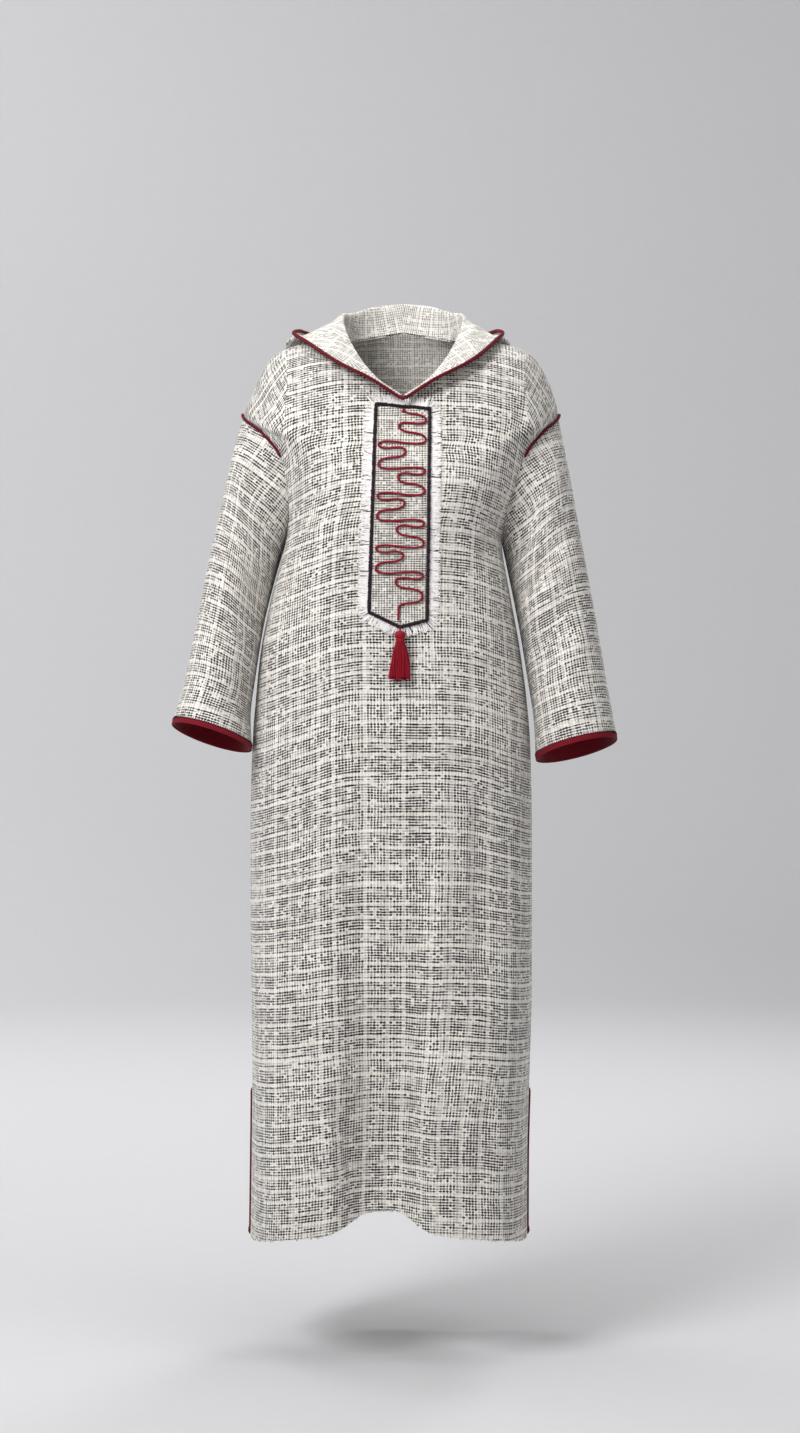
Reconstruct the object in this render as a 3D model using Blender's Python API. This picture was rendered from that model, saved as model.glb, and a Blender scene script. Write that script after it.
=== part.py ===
"""Hooded djellaba robe in the hollow form it takes when worn, in metres, +Z up, front to -Y.

Left means -X, the left of a viewer in front. The origin is between the shoulders at the neck's
height. Each cloth is a mid surface of points and normals, with half its thickness to each side.
Rows of the body run from the hem (row 0) to the neckline (row 20), each one a front and a back
arc between the two side seams: across the arc u goes from -1 to 1.
"""

import math

import bpy
import numpy as np

# Cloth and sewing
CLOTH = 0.002
SEAM_GAP = 0.0003
FACING_CLOTH = 0.001
HOOD_CORD_RADIUS = 0.003
ARMHOLE_CORD_RADIUS = 0.002
SLIT_CORD_RADIUS = 0.0016
SLIT_HALF_OPENING = 0.006
CUFF_BINDING_HEIGHT = 0.008
CUFF_FACING_REACH = 0.9
CUFF_TILT = math.radians(11)

# Rows that the other pieces meet
SLIT_TOP_ROW = 2
ARMPIT_ROW = 10
TIP_ROW = 15
NECK_ROW = 20
ARMHOLE_STEPS = 12
ARC_STEPS = 20
ARMHOLE_FRONT = 0.064
ARMHOLE_BACK = 0.068

BODY_COLUMNS = (
    "level", "half_width", "lean", "front", "front_rise", "back", "back_rise", "corner", "vee",
)
BODY = (
    (-1.2790, 0.1990, -0.0205, -0.150, 0.030, 0.150, 0.000, 0.012, 0.0),  # hem
    (-1.1600, 0.1985, -0.0195, -0.150, 0.024, 0.150, 0.000, 0.014, 0.0),
    (-1.0470, 0.1995, -0.0175, -0.150, 0.015, 0.150, 0.000, 0.012, 0.0),  # slit top
    (-0.9425, 0.2015, -0.0165, -0.150, 0.012, 0.150, 0.000, 0.012, 0.0),
    (-0.8000, 0.2025, -0.0170, -0.149, 0.010, 0.149, 0.000, 0.012, 0.0),
    (-0.6960, 0.2025, -0.0170, -0.147, 0.010, 0.148, 0.000, 0.012, 0.0),
    (-0.5730, 0.2000, -0.0168, -0.145, 0.010, 0.143, 0.000, 0.012, 0.0),
    (-0.5075, 0.1950, -0.0170, -0.143, 0.010, 0.138, 0.002, 0.012, 0.0),
    (-0.4350, 0.1863, -0.0180, -0.141, 0.011, 0.133, 0.005, 0.012, 0.0),
    (-0.3625, 0.1726, -0.0174, -0.139, 0.013, 0.130, 0.009, 0.012, 0.0),
    (-0.2830, 0.1560, -0.0138, -0.137, 0.015, 0.128, 0.013, 0.012, 0.0),  # armpit
    (-0.2450, 0.1537, -0.0087, -0.1349, 0.002, 0.127, 0.009, 0.010, 0.0),
    (-0.2000, 0.1624, -0.0029, -0.1316, -0.018, 0.126, 0.003, 0.008, 0.0),
    (-0.1580, 0.1733, -0.0007, -0.1281, -0.040, 0.124, -0.004, 0.006, 0.0),
    (-0.1220, 0.2000, -0.0010, -0.1238, -0.056, 0.121, -0.011, 0.005, 0.0),
    (-0.0940, 0.2260, -0.0030, -0.1206, -0.071, 0.118, -0.016, 0.004, 0.0),  # tip
    (-0.0650, 0.2168, 0.0000, -0.1165, -0.085, 0.112, -0.015, 0.004, 0.0),
    (-0.0360, 0.2045, 0.0000, -0.1123, -0.100, 0.105, -0.014, 0.004, 0.2),
    (-0.0100, 0.1860, 0.0000, -0.1076, -0.112, 0.098, -0.010, 0.003, 0.4),
    (0.0060, 0.1500, 0.0000, -0.1019, -0.112, 0.087, 0.004, 0.002, 0.6),
    (0.0120, 0.0980, 0.0000, -0.092, -0.093, 0.072, 0.023, 0.000, 0.6),  # neck
)
FINE_ROWS = (0, 0.5, 1, 1.5, 1.8, 2, 3, 4, 5, 6, 7, 8, 9)

# Folds hang from `top`, are full at `full` and, if `low` is set, end again at `low`
FOLD_COLUMNS = ("angle", "drift", "width", "square", "depth", "lift", "top", "full", "low")
FRONT_FOLDS = (
    (-3, 0, 16, 4, -0.048, 0.024, -0.62, -1.24, None),
    (-45, 0, 18, 2, 0.012, 0.000, -0.75, -1.20, None),
    (42, 0, 18, 2, 0.014, 0.000, -0.75, -1.20, None),
    (37, 4, 11, 2, -0.006, 0.000, -0.55, -0.78, -1.05),
    (-13, 2, 11, 2, -0.005, 0.000, -0.55, -0.75, -0.98),
)
BACK_FOLDS = (
    (-32, -4, 16, 2, 0.013, 0.000, -0.40, -1.15, None),
    (2, 3, 15, 2, -0.016, 0.006, -0.45, -1.15, None),
    (34, 4, 17, 2, 0.015, 0.000, -0.50, -1.20, None),
)

# Rings of a sleeve below the armhole: outermost and innermost points, forward shift, half depth
SLEEVE_COLUMNS = ("outer_x", "outer_z", "inner_x", "inner_z", "forward", "half_depth")
SLEEVE_LEFT = (
    (-0.2420, -0.1380, -0.1810, -0.312, 0.000, 0.0660),
    (-0.2595, -0.2175, -0.1895, -0.345, 0.010, 0.0660),
    (-0.2780, -0.3045, -0.2020, -0.400, 0.020, 0.0670),
    (-0.3000, -0.4205, -0.2135, -0.475, 0.030, 0.0690),
    (-0.3130, -0.4880, -0.2195, -0.525, 0.040, 0.0705),
    (-0.3265, -0.5360, -0.2170, -0.570, 0.056, 0.0720),
)
SLEEVE_RIGHT = (
    (0.2305, -0.1305, 0.1510, -0.312, 0.000, 0.0660),
    (0.2465, -0.2175, 0.1575, -0.345, 0.010, 0.0660),
    (0.2610, -0.3045, 0.1680, -0.400, 0.020, 0.0670),
    (0.2810, -0.4205, 0.1800, -0.475, 0.030, 0.0690),
    (0.2915, -0.4880, 0.1880, -0.532, 0.040, 0.0705),
    (0.3035, -0.5570, 0.1905, -0.584, 0.050, 0.0720),
)
SLEEVE_STEPS = (0, 0.5, 1, 1.5, 2, 2.75, 3.5, 4.25, 5, 6)

# Creases of a sleeve: ring, angle round it (0 inner, 90 front, 180 outer), reaches, depth
LEFT_CREASES = (
    (0.7, 105, 0.9, 20, -0.006),
    (1.3, 48, 0.5, 22, 0.005),
    (2.6, 55, 0.6, 26, -0.006),
    (3.6, 250, 0.7, 30, -0.006),
)
RIGHT_CREASES = (
    (0.8, 75, 0.9, 20, -0.005),
    (2.4, 95, 0.4, 45, -0.007),
    (3.0, 60, 0.5, 30, 0.005),
    (3.6, 260, 0.7, 30, -0.006),
)

# The hood laid back: stations by angle from the neck's front, points for the +X side
HOOD_COLUMNS = (
    "angle", "roll_x", "roll_y", "roll_z", "low_x", "low_y", "low_z",
    "outer_x", "outer_y", "outer_z", "rim_x", "rim_y", "rim_z",
)
HOOD = (
    (0, 0.0020, -0.097, -0.0775, 0.004, -0.100, -0.0780, 0.005, -0.103, -0.0790, 0.0055, -0.106, -0.0800),
    (25, 0.0370, -0.094, -0.0530, 0.041, -0.099, -0.0525, 0.044, -0.103, -0.0530, 0.0460, -0.107, -0.0540),
    (50, 0.0640, -0.073, -0.0180, 0.075, -0.078, -0.0180, 0.087, -0.084, -0.0210, 0.0960, -0.089, -0.0250),
    (75, 0.0830, -0.037, 0.0240, 0.101, -0.037, 0.0240, 0.121, -0.036, 0.0170, 0.1370, -0.035, 0.0120),
    (90, 0.0870, -0.006, 0.0460, 0.108, -0.002, 0.0330, 0.146, 0.003, 0.0180, 0.1500, 0.006, 0.0250),
    (106, 0.0840, 0.030, 0.0570, 0.116, 0.048, 0.0220, 0.164, 0.053, 0.0120, 0.1450, 0.048, 0.0330),
    (122, 0.0740, 0.050, 0.0600, 0.117, 0.102, -0.0260, 0.162, 0.106, -0.0060, 0.1330, 0.090, 0.0350),
    (138, 0.0600, 0.067, 0.0620, 0.101, 0.136, -0.1000, 0.125, 0.146, -0.0420, 0.1080, 0.124, 0.0270),
    (160, 0.0320, 0.085, 0.0640, 0.052, 0.148, -0.1950, 0.066, 0.180, -0.0950, 0.0560, 0.160, 0.0040),
    (180, 0.0005, 0.091, 0.0640, 0.0005, 0.152, -0.2400, 0.0005, 0.194, -0.1200, 0.0005, 0.175, -0.0080),
)
HOOD_LEAN = -0.007
HOOD_STEPS = (0, 0.5, 1, 1.35, 1.7, 2.0, 2.35, 2.7, 3.3, 4)

# The placket on the chest, corners as (x, z), then what lies on it
PLACKET = (
    (-0.0382, -0.0915),
    (0.0380, -0.0985),
    (0.0333, -0.3969),
    (-0.0044, -0.4066),
    (-0.0476, -0.3857),
)
PLACKET_CLOTH = 0.0015
BORDER_RADIUS = 0.0028
CORD_RADIUS = 0.0015
CORD_HALF_WIDTH = 0.0325
CORD_UNITS = 7
CORD_ADVANCE = 0.0365
FRINGE_PITCH = 0.0040
FRINGE_SIDE = 0.0150
FRINGE_BOTTOM = 0.0110
FRINGE_TOP = 0.0075
TASSEL_CELLS = 7
TASSEL_TOP = -0.4110
TASSEL_HEAD = 0.0140
TASSEL_LENGTH = 0.0670


def smooth(x):
    """0 below 0, 1 above 1, and a smooth step between."""
    x = np.clip(x, 0, 1)
    return x * x * (3 - 2 * x)


def monotone(values, at):
    """A curve through values at 0, 1, 2 and so on that makes no overshoot, read at each `at`."""
    values = np.asarray(values, float)
    step = np.diff(values)
    slope = np.zeros(len(values))
    slope[0], slope[-1] = step[0], step[-1]
    same = step[:-1] * step[1:] > 0
    both = np.where(same, step[:-1] + step[1:], 1)
    slope[1:-1] = np.where(same, 2 * step[:-1] * step[1:] / both, 0)
    at = np.clip(np.asarray(at, float), 0, len(values) - 1)
    i = np.minimum(at.astype(int), len(values) - 2)
    t = at - i
    return (
        values[i] * (1 + 2 * t) * (1 - t) ** 2
        + slope[i] * t * (1 - t) ** 2
        + values[i + 1] * t * t * (3 - 2 * t)
        + slope[i + 1] * t * t * (t - 1)
    )


def through(knots, at):
    """A smooth curve through equally spaced knots, for any trailing shape, read at each `at`."""
    knots = np.asarray(knots, float)
    slope = np.gradient(knots, axis=0)
    at = np.clip(np.asarray(at, float), 0, len(knots) - 1)
    i = np.minimum(at.astype(int), len(knots) - 2)
    t = (at - i).reshape((-1,) + (1,) * (knots.ndim - 1))
    return (
        knots[i] * (1 + 2 * t) * (1 - t) ** 2
        + slope[i] * t * (1 - t) ** 2
        + knots[i + 1] * t * t * (3 - 2 * t)
        + slope[i + 1] * t * t * (t - 1)
    )


def unit(vectors):
    return vectors / np.maximum(np.linalg.norm(vectors, axis=-1, keepdims=True), 1e-12)


def fold_push(folds, degrees, level):
    """How far the folds move the cloth outwards, and how far up."""
    push = np.zeros(np.shape(degrees))
    lift = np.zeros(np.shape(degrees))
    for row in folds:
        fold = dict(zip(FOLD_COLUMNS, row))
        down = smooth((fold["top"] - level) / (fold["top"] - fold["full"]))
        if fold["low"] is not None:
            down = down * smooth((level - fold["low"]) / (fold["full"] - fold["low"]))
        away = np.abs(degrees - fold["angle"] - fold["drift"] * down) / fold["width"]
        shape = np.exp(-(away ** fold["square"]))
        push = push + fold["depth"] * down * shape
        lift = lift + fold["lift"] * down**2 * shape
    return push, lift


def body(t, u, back):
    """The point of the front or back at row t and across u, for arrays of one shape."""
    row = {name: monotone(column, t) for name, column in zip(BODY_COLUMNS, zip(*BODY))}
    side = 1 if back else -1
    share = np.clip((t - ARMPIT_ROW) / (TIP_ROW - ARMPIT_ROW), 0, 1)
    armhole = np.sin(np.pi * share) ** 0.6 * (ARMHOLE_BACK if back else ARMHOLE_FRONT)
    slit = SLIT_HALF_OPENING * smooth((SLIT_TOP_ROW - t) / 0.2)
    seam = armhole + slit + SEAM_GAP / 2
    depth = np.abs(row["back"] if back else row["front"])
    turn = np.arccos(seam / depth)
    angle = u * turn
    across = np.sin(angle) / np.sin(turn)
    rise = row["back_rise"] if back else row["front_rise"]
    steep = np.abs(across)
    up = rise * (1 - (row["vee"] * steep + (1 - row["vee"]) * steep**2))
    folds = BACK_FOLDS if back else FRONT_FOLDS
    push, lift = fold_push(folds, np.degrees(angle), row["level"])
    keep = 1 - np.abs(u) ** 6
    out = row["corner"] * np.sin(np.pi * np.abs(u)) ** 2 + push * keep
    x = row["lean"] + row["half_width"] * across + out * np.sin(angle)
    y = side * (depth + out) * np.cos(angle)
    return np.stack([x, y, row["level"] + up + lift * keep], axis=-1)


def body_normal(t, u, back):
    """The outward normal, from the surface a little to each side."""
    h = 1e-4
    low_t, high_t = np.clip(t - h, 0, NECK_ROW), np.clip(t + h, 0, NECK_ROW)
    low_u, high_u = np.clip(u - h, -1, 1), np.clip(u + h, -1, 1)
    along = body(high_t, u, back) - body(low_t, u, back)
    across = body(t, high_u, back) - body(t, low_u, back)
    normal = unit(np.cross(along, across))
    return normal if back else -normal


def body_rows():
    armhole = ARMPIT_ROW + (TIP_ROW - ARMPIT_ROW) * np.arange(ARMHOLE_STEPS + 1) / ARMHOLE_STEPS
    return np.concatenate([FINE_ROWS, armhole, np.arange(TIP_ROW + 1, NECK_ROW + 1)])


def square_to_edge(normals, points, edge):
    """Normals along an edge, turned square to the edge line."""
    tangent = unit(np.gradient(points, axis=0))
    return unit(normals - tangent * (normals * tangent).sum(axis=-1, keepdims=True))


def body_grid(back):
    """Points and normals of the front or back panel, rows by columns."""
    t, u = np.meshgrid(body_rows(), np.linspace(-1, 1, ARC_STEPS + 1), indexing="ij")
    points, normals = body(t, u, back), body_normal(t, u, back)
    seam = (t[:, 0] <= ARMPIT_ROW) | (t[:, 0] >= TIP_ROW)
    for column in (0, -1):
        normals[seam, column, 1] = 0
        normals[:, column] = square_to_edge(unit(normals[:, column]), points[:, column], seam)
        normals[seam, column, 1] = 0
    normals[-1] = square_to_edge(normals[-1], points[-1], None)
    return points, unit(normals)


def mesh_object(name, points, faces, colour, roughness=0.9):
    """One closed body facing out, as an object with its own material."""
    points = np.asarray(points, float)
    faces = np.asarray(faces, int)
    if np.linalg.det(points[faces]).sum() < 0:
        faces = faces[:, ::-1]
    mesh = bpy.data.meshes.new(name)
    mesh.from_pydata(points.tolist(), [], faces.tolist())
    mesh.validate()
    material = bpy.data.materials.new(name)
    material.use_nodes = True
    shader = material.node_tree.nodes["Principled BSDF"]
    shader.inputs["Base Color"].default_value = (*colour, 1)
    shader.inputs["Roughness"].default_value = roughness
    mesh.materials.append(material)
    bpy.context.scene.collection.objects.link(bpy.data.objects.new(name, mesh))


def quads(a, b, c, d):
    """Two triangles for each quad a, b, c, d."""
    a, b, c, d = (np.asarray(side).reshape(-1) for side in (a, b, c, d))
    return np.concatenate([np.stack([a, b, c], axis=1), np.stack([a, c, d], axis=1)])


def wall(name, points, normals, thickness, colour, ring=False):
    """Cloth with half its thickness to each side; with ring, the columns close on themselves."""
    rows, columns = points.shape[:2]
    both = np.concatenate(
        [
            (points + normals * thickness / 2).reshape(-1, 3),
            (points - normals * thickness / 2).reshape(-1, 3),
        ]
    )
    index = np.arange(rows * columns).reshape(rows, columns)
    if ring:
        index = np.concatenate([index, index[:, :1]], axis=1)
    deep = index + rows * columns
    outer = quads(index[:-1, :-1], index[:-1, 1:], index[1:, 1:], index[1:, :-1])
    inner = quads(deep[:-1, :-1], deep[:-1, 1:], deep[1:, 1:], deep[1:, :-1])[:, ::-1]
    faces = [
        outer,
        inner,
        quads(index[0, 1:], index[0, :-1], deep[0, :-1], deep[0, 1:]),
        quads(index[-1, :-1], index[-1, 1:], deep[-1, 1:], deep[-1, :-1]),
    ]
    if not ring:
        faces.append(quads(index[:-1, 0], index[1:, 0], deep[1:, 0], deep[:-1, 0]))
        faces.append(quads(index[1:, -1], index[:-1, -1], deep[:-1, -1], deep[1:, -1]))
    mesh_object(name, both, np.concatenate(faces), colour)


def tube(name, path, normals, radius, sides, colour, ring=False, roughness=0.8):
    """A cord along a path, its first side towards the normals."""
    if ring:
        tangent = unit(np.roll(path, -1, axis=0) - np.roll(path, 1, axis=0))
    else:
        tangent = unit(np.gradient(path, axis=0))
    normal = unit(normals - tangent * (normals * tangent).sum(axis=-1, keepdims=True))
    other = np.cross(tangent, normal)
    angle = 2 * np.pi * np.arange(sides) / sides
    around = (
        np.cos(angle)[None, :, None] * normal[:, None]
        + np.sin(angle)[None, :, None] * other[:, None]
    )
    points = (path[:, None] + radius * around).reshape(-1, 3)
    index = np.arange(len(points)).reshape(len(path), sides)
    index = np.concatenate([index, index[:, :1]], axis=1)
    if ring:
        index = np.concatenate([index, index[:1]], axis=0)
    faces = [quads(index[:-1, :-1], index[:-1, 1:], index[1:, 1:], index[1:, :-1])]
    if not ring:
        ends = np.arange(1, sides - 1)
        first, last = index[0], index[-1]
        faces.append(np.stack([first[0] + 0 * ends, first[ends + 1], first[ends]], axis=1))
        faces.append(np.stack([last[0] + 0 * ends, last[ends], last[ends + 1]], axis=1))
    mesh_object(name, points, np.concatenate(faces), colour, roughness)


def seam_start(edge, tangent, body_normals, towards, thickness):
    """Where a cloth sewn to an edge starts, clear of it by the gap, and its normals there.

    edge is the finished edge, tangent its direction, towards the new cloth's direction.
    """
    off = unit(np.cross(tangent, body_normals))
    flat = towards - tangent * (towards * tangent).sum(axis=-1, keepdims=True)
    flat = unit(flat)
    cosine = (flat * off).sum(axis=-1, keepdims=True)
    up = (flat * body_normals).sum(axis=-1, keepdims=True)
    side = np.where(up < 0, -1.0, 1.0)
    sine = np.sqrt(np.clip(1 - cosine**2, 0, 1))
    start = (
        edge
        + off * (SEAM_GAP + thickness / 2 * sine)
        + body_normals * side * (thickness + SEAM_GAP) * (1 - cosine) / 2
    )
    normal = body_normals * cosine - off * up
    return start, unit(normal)


def armhole_loop(side):
    """The armhole from the armpit up the front to the tip and down the back."""
    share = np.arange(ARMHOLE_STEPS + 1) / ARMHOLE_STEPS
    t = ARMPIT_ROW + (TIP_ROW - ARMPIT_ROW) * share
    u = np.full(len(t), float(side))
    points, normals = [], []
    for back, order in ((False, slice(0, None)), (True, slice(-2, 0, -1))):
        edge = body(t, u, back)
        normal = body_normal(t, u, back)
        normal = square_to_edge(normal, edge, None)
        points.append(edge[order])
        normals.append(normal[order])
    points, normals = np.concatenate(points), np.concatenate(normals)
    for i in (0, ARMHOLE_STEPS):
        points[i, 1] = 0
        normals[i, 1] = 0
    return points, unit(normals)


def sleeve_knots(side):
    """The sleeve's rings as points, ring 0 on the armhole."""
    loop, normals = armhole_loop(side)
    count = len(loop)
    angle = 2 * np.pi * np.arange(count) / count
    rings = []
    table = SLEEVE_LEFT if side < 0 else SLEEVE_RIGHT
    for number, row in enumerate(table):
        ring = dict(zip(SLEEVE_COLUMNS, row))
        outer = np.array([ring["outer_x"], -ring["forward"], ring["outer_z"]])
        inner = np.array([ring["inner_x"], -ring["forward"], ring["inner_z"]])
        tilt = CUFF_TILT * number / (len(table) - 1)
        front = np.array([0, -math.cos(tilt), math.sin(tilt)]) * ring["half_depth"]
        rings.append(
            (outer + inner) / 2
            + np.cos(angle)[:, None] * (inner - outer) / 2
            + np.sin(angle)[:, None] * front
        )
    tangent = unit(np.roll(loop, -1, axis=0) - np.roll(loop, 1, axis=0))
    centre = loop.mean(axis=0)
    if (np.cross(tangent, normals) * (centre - loop)).sum() < 0:
        tangent = -tangent
    start, first = seam_start(loop, tangent, normals, rings[0] - loop, CLOTH)
    return np.stack([start] + rings), first


def sleeve_surface(side, steps):
    """Points and normals of a sleeve, rings by points round it."""
    knots, first = sleeve_knots(side)
    points = through(knots, steps)
    count = points.shape[1]
    along = np.gradient(points, axis=0)
    around = np.roll(points, -1, axis=1) - np.roll(points, 1, axis=1)
    normals = unit(np.cross(along, around))
    centre = points.mean(axis=1, keepdims=True)
    if ((points - centre) * normals).sum() < 0:
        normals = -normals
    if (first * normals[0]).sum() < 0:
        first = -first
    degrees = 360 * np.arange(count) / count
    push = np.zeros(points.shape[:2])
    for ring, angle, reach, width, depth in LEFT_CREASES if side < 0 else RIGHT_CREASES:
        turn = (degrees - angle + 180) % 360 - 180
        along_sleeve = (np.asarray(steps) - ring) / reach
        push += depth * np.exp(-(along_sleeve**2)[:, None] - ((turn / width) ** 2)[None])
    push *= smooth(np.asarray(steps, float))[:, None]
    points = points + normals * push[..., None]
    normals[0] = first
    return points, normals


def cuff_ring(points, normals, distance, inwards):
    """The sleeve's last ring carried on along the sleeve and moved in."""
    along = unit(points[-1] - points[-2])
    return points[-1] + along * distance - normals[-1] * inwards


def neckline(side):
    """The neck's edge from the front to the back of one side, with its normals."""
    half = ARC_STEPS // 2
    u = side * np.arange(half + 1) / half
    t = np.full(half + 1, float(NECK_ROW))
    front, back = body(t, u, False), body(t, u[::-1], True)
    front_n, back_n = body_normal(t, u, False), body_normal(t, u[::-1], True)
    for normal in (front_n[-1], back_n[0]):
        normal[1] = 0
    points = np.concatenate([front[:-1], back])
    normals = np.concatenate([front_n[:-1], back_n])
    points[half, 1] = 0
    angles = np.concatenate([90 * np.abs(u[:-1]), 180 - 90 * np.abs(u[::-1])])
    return points, square_to_edge(unit(normals), points, None), angles


def hood_surface(side):
    """Points and normals of one half of the hood, from its seam to its rim."""
    edge, body_normals, angles = neckline(side)
    table = np.array(HOOD)
    place = np.interp(angles, table[:, 0], np.arange(len(table)))
    stations = np.stack([monotone(table[:, c], place) for c in range(1, 13)], axis=1)
    stations = stations.reshape(-1, 4, 3)
    stations[..., 0] = side * stations[..., 0]
    fade = (smooth((angles - 50) / 40) * smooth((180 - angles) / 30))[:, None]
    stations[..., 0] += HOOD_LEAN * fade * np.array([0.0, 0.5, 1.0, 1.0])
    tangent = unit(np.gradient(edge, axis=0))
    off = np.cross(tangent, body_normals)
    if off[len(off) // 2, 2] < 0:
        tangent = -tangent
    start, first = seam_start(edge, tangent, body_normals, stations[:, 0] - edge, CLOTH)
    start[0] += tangent[0] * (side * 0.0012 - start[0, 0]) / tangent[0, 0]
    knots = np.concatenate([start[None], stations.transpose(1, 0, 2)])
    knots[:, -1, 0] = side * SEAM_GAP / 2
    points = through(knots, HOOD_STEPS)
    along, around = np.gradient(points, axis=0), np.gradient(points, axis=1)
    normals = unit(np.cross(along, around))
    if (normals[0] * first).sum() < 0:
        normals = -normals
    normals[0] = first
    normals[:, -1, 0] = 0
    return points, unit(normals)


class Panel:
    """The front panel's flat facets, to lay other pieces on."""

    def __init__(self):
        self.points, self.normals = body_grid(False)
        self.rows = body_rows()

    def at(self, i, j):
        """Point and normal at fractional row and column numbers."""
        i0 = np.clip(i.astype(int), 0, len(self.rows) - 2)
        j0 = np.clip(j.astype(int), 0, ARC_STEPS - 1)
        a, b = (i - i0)[:, None], (j - j0)[:, None]
        found = []
        for grid in (self.points, self.normals):
            low = grid[i0, j0] * (1 - b) + grid[i0, j0 + 1] * b
            high = grid[i0 + 1, j0] * (1 - b) + grid[i0 + 1, j0 + 1] * b
            found.append(low * (1 - a) + high * a)
        return found[0], unit(found[1])

    def over(self, x, z, lift):
        """Points over the front at (x, z), lifted off the cloth's mid surface."""
        x, z = np.broadcast_arrays(np.asarray(x, float), np.asarray(z, float))
        shape = x.shape
        x, z = x.reshape(-1), z.reshape(-1)
        centre = self.points[:, ARC_STEPS // 2, 2]
        i = np.interp(z, centre, np.arange(len(centre)))
        j = ARC_STEPS / 2 + x / 0.17 * ARC_STEPS / math.pi
        h = 1e-3
        for _ in range(30):
            here, _ = self.at(i, j)
            up = (self.at(i + h, j)[0] - here) / h
            over = (self.at(i, j + h)[0] - here) / h
            det = up[:, 0] * over[:, 2] - over[:, 0] * up[:, 2]
            miss_x, miss_z = x - here[:, 0], z - here[:, 2]
            di = (miss_x * over[:, 2] - over[:, 0] * miss_z) / det
            dj = (up[:, 0] * miss_z - miss_x * up[:, 2]) / det
            i = i + np.clip(0.8 * di, -1, 1)
            j = j + np.clip(0.8 * dj, -1, 1)
        point, normal = self.at(i, j)
        lift = np.broadcast_to(lift, shape).reshape(-1, 1)
        return (point + normal * lift).reshape(shape + (3,)), normal.reshape(shape + (3,))


def offset_polygon(corners, distance):
    """The polygon with each side moved out, for corners that run clockwise."""
    corners = np.asarray(corners, float)
    nexts = np.roll(corners, -1, axis=0)
    direction = unit(nexts - corners)
    out = np.stack([-direction[:, 1], direction[:, 0]], axis=1)
    start = corners + out * distance
    moved = []
    for i in range(len(corners)):
        p, d = start[i - 1], direction[i - 1]
        q, e = start[i], direction[i]
        s = ((q[0] - p[0]) * e[1] - (q[1] - p[1]) * e[0]) / (d[0] * e[1] - d[1] * e[0])
        moved.append(p + d * s)
    return np.array(moved)


def round_polygon(corners, counts):
    """Points round the polygon, so many to each side."""
    nexts = np.roll(corners, -1, axis=0)
    return np.concatenate(
        [a + (b - a) * np.arange(n)[:, None] / n for a, b, n in zip(corners, nexts, counts)]
    )


def side_counts(pitch):
    corners = np.array(PLACKET)
    lengths = np.linalg.norm(np.roll(corners, -1, axis=0) - corners, axis=1)
    return [2 * max(1, round(length / pitch / 2)) for length in lengths]


def soften(path, times):
    """Corner cutting on an open path."""
    for _ in range(times):
        a, b = path[:-1], path[1:]
        cut = np.stack([a * 0.75 + b * 0.25, a * 0.25 + b * 0.75], axis=1).reshape(-1, 2)
        path = np.concatenate([path[:1], cut, path[-1:]])
    return path


def evenly(path, spacing):
    gone = np.concatenate([[0], np.cumsum(np.linalg.norm(np.diff(path, axis=0), axis=1))])
    at = np.linspace(0, gone[-1], max(2, round(gone[-1] / spacing)) + 1)
    return np.stack([np.interp(at, gone, path[:, c]) for c in range(path.shape[1])], axis=1)


def meander():
    """The couched cord as (across, down) from the placket's top centre: a plain serpent of
    units that change sides, each with one loop to the middle."""
    path = [(0.0, 0.004), (0.0, 0.010)]
    for number in range(CORD_UNITS):
        side = 1 if number % 2 == 0 else -1
        top = 0.012 + number * CORD_ADVANCE
        unit_path = ((1, 1), (1, 15), (-0.15, 10), (-0.15, 25), (1, 28), (1, 45))
        path += [(side * a * CORD_HALF_WIDTH, top + b / 1000) for a, b in unit_path]
    last = path[-1][1]
    path += [(0.05 * CORD_HALF_WIDTH, last + 0.003), (0.0, last + 0.012), (0.0, last + 0.026)]
    return evenly(soften(np.array(path), 2), 0.0072)


def placket_frame(across, down):
    """(x, z) on the placket, from its top centre along its own lean."""
    corners = np.array(PLACKET)
    top = (corners[0] + corners[1]) / 2
    bottom = np.array([(corners[2][0] + corners[4][0]) / 2, corners[3][1]])
    axis = unit(bottom - top)
    over = np.array([-axis[1], axis[0]])
    return top[0] + axis[0] * down + over[0] * across, top[1] + axis[1] * down + over[1] * across


def make_placket(panel):
    inner = offset_polygon(PLACKET, -BORDER_RADIUS - SEAM_GAP)
    share = np.linspace(0, 1, 9)
    low = np.interp(share, [0, 0.5, 1], [inner[4][0], inner[3][0], inner[2][0]])
    low_z = np.interp(share, [0, 0.5, 1], [inner[4][1], inner[3][1], inner[2][1]])
    high = np.interp(share, [0, 1], [inner[0][0], inner[1][0]])
    high_z = np.interp(share, [0, 1], [inner[0][1], inner[1][1]])
    down = np.linspace(0, 1, 18)[:, None]
    lift = CLOTH / 2 + 2 * SEAM_GAP + PLACKET_CLOTH / 2
    points, normals = panel.over(
        high + (low - high) * down, high_z + (low_z - high_z) * down, lift
    )
    wall("placket_panel", points, normals, PLACKET_CLOTH, (0.78, 0.74, 0.66))

    outline = round_polygon(np.array(PLACKET), side_counts(0.015))
    lift = CLOTH / 2 + 0.0005 + BORDER_RADIUS
    path, normals = panel.over(outline[:, 0], outline[:, 1], lift)
    tube("placket_border", path, normals, BORDER_RADIUS, 5, (0.02, 0.008, 0.02), ring=True)

    across, down = meander().T
    x, z = placket_frame(across, down)
    lift = CLOTH / 2 + 2 * SEAM_GAP + PLACKET_CLOTH + SEAM_GAP + CORD_RADIUS + 0.0002
    path, normals = panel.over(x, z, lift)
    tube("placket_cord", path, normals, CORD_RADIUS, 5, (0.25, 0.008, 0.025))


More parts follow.
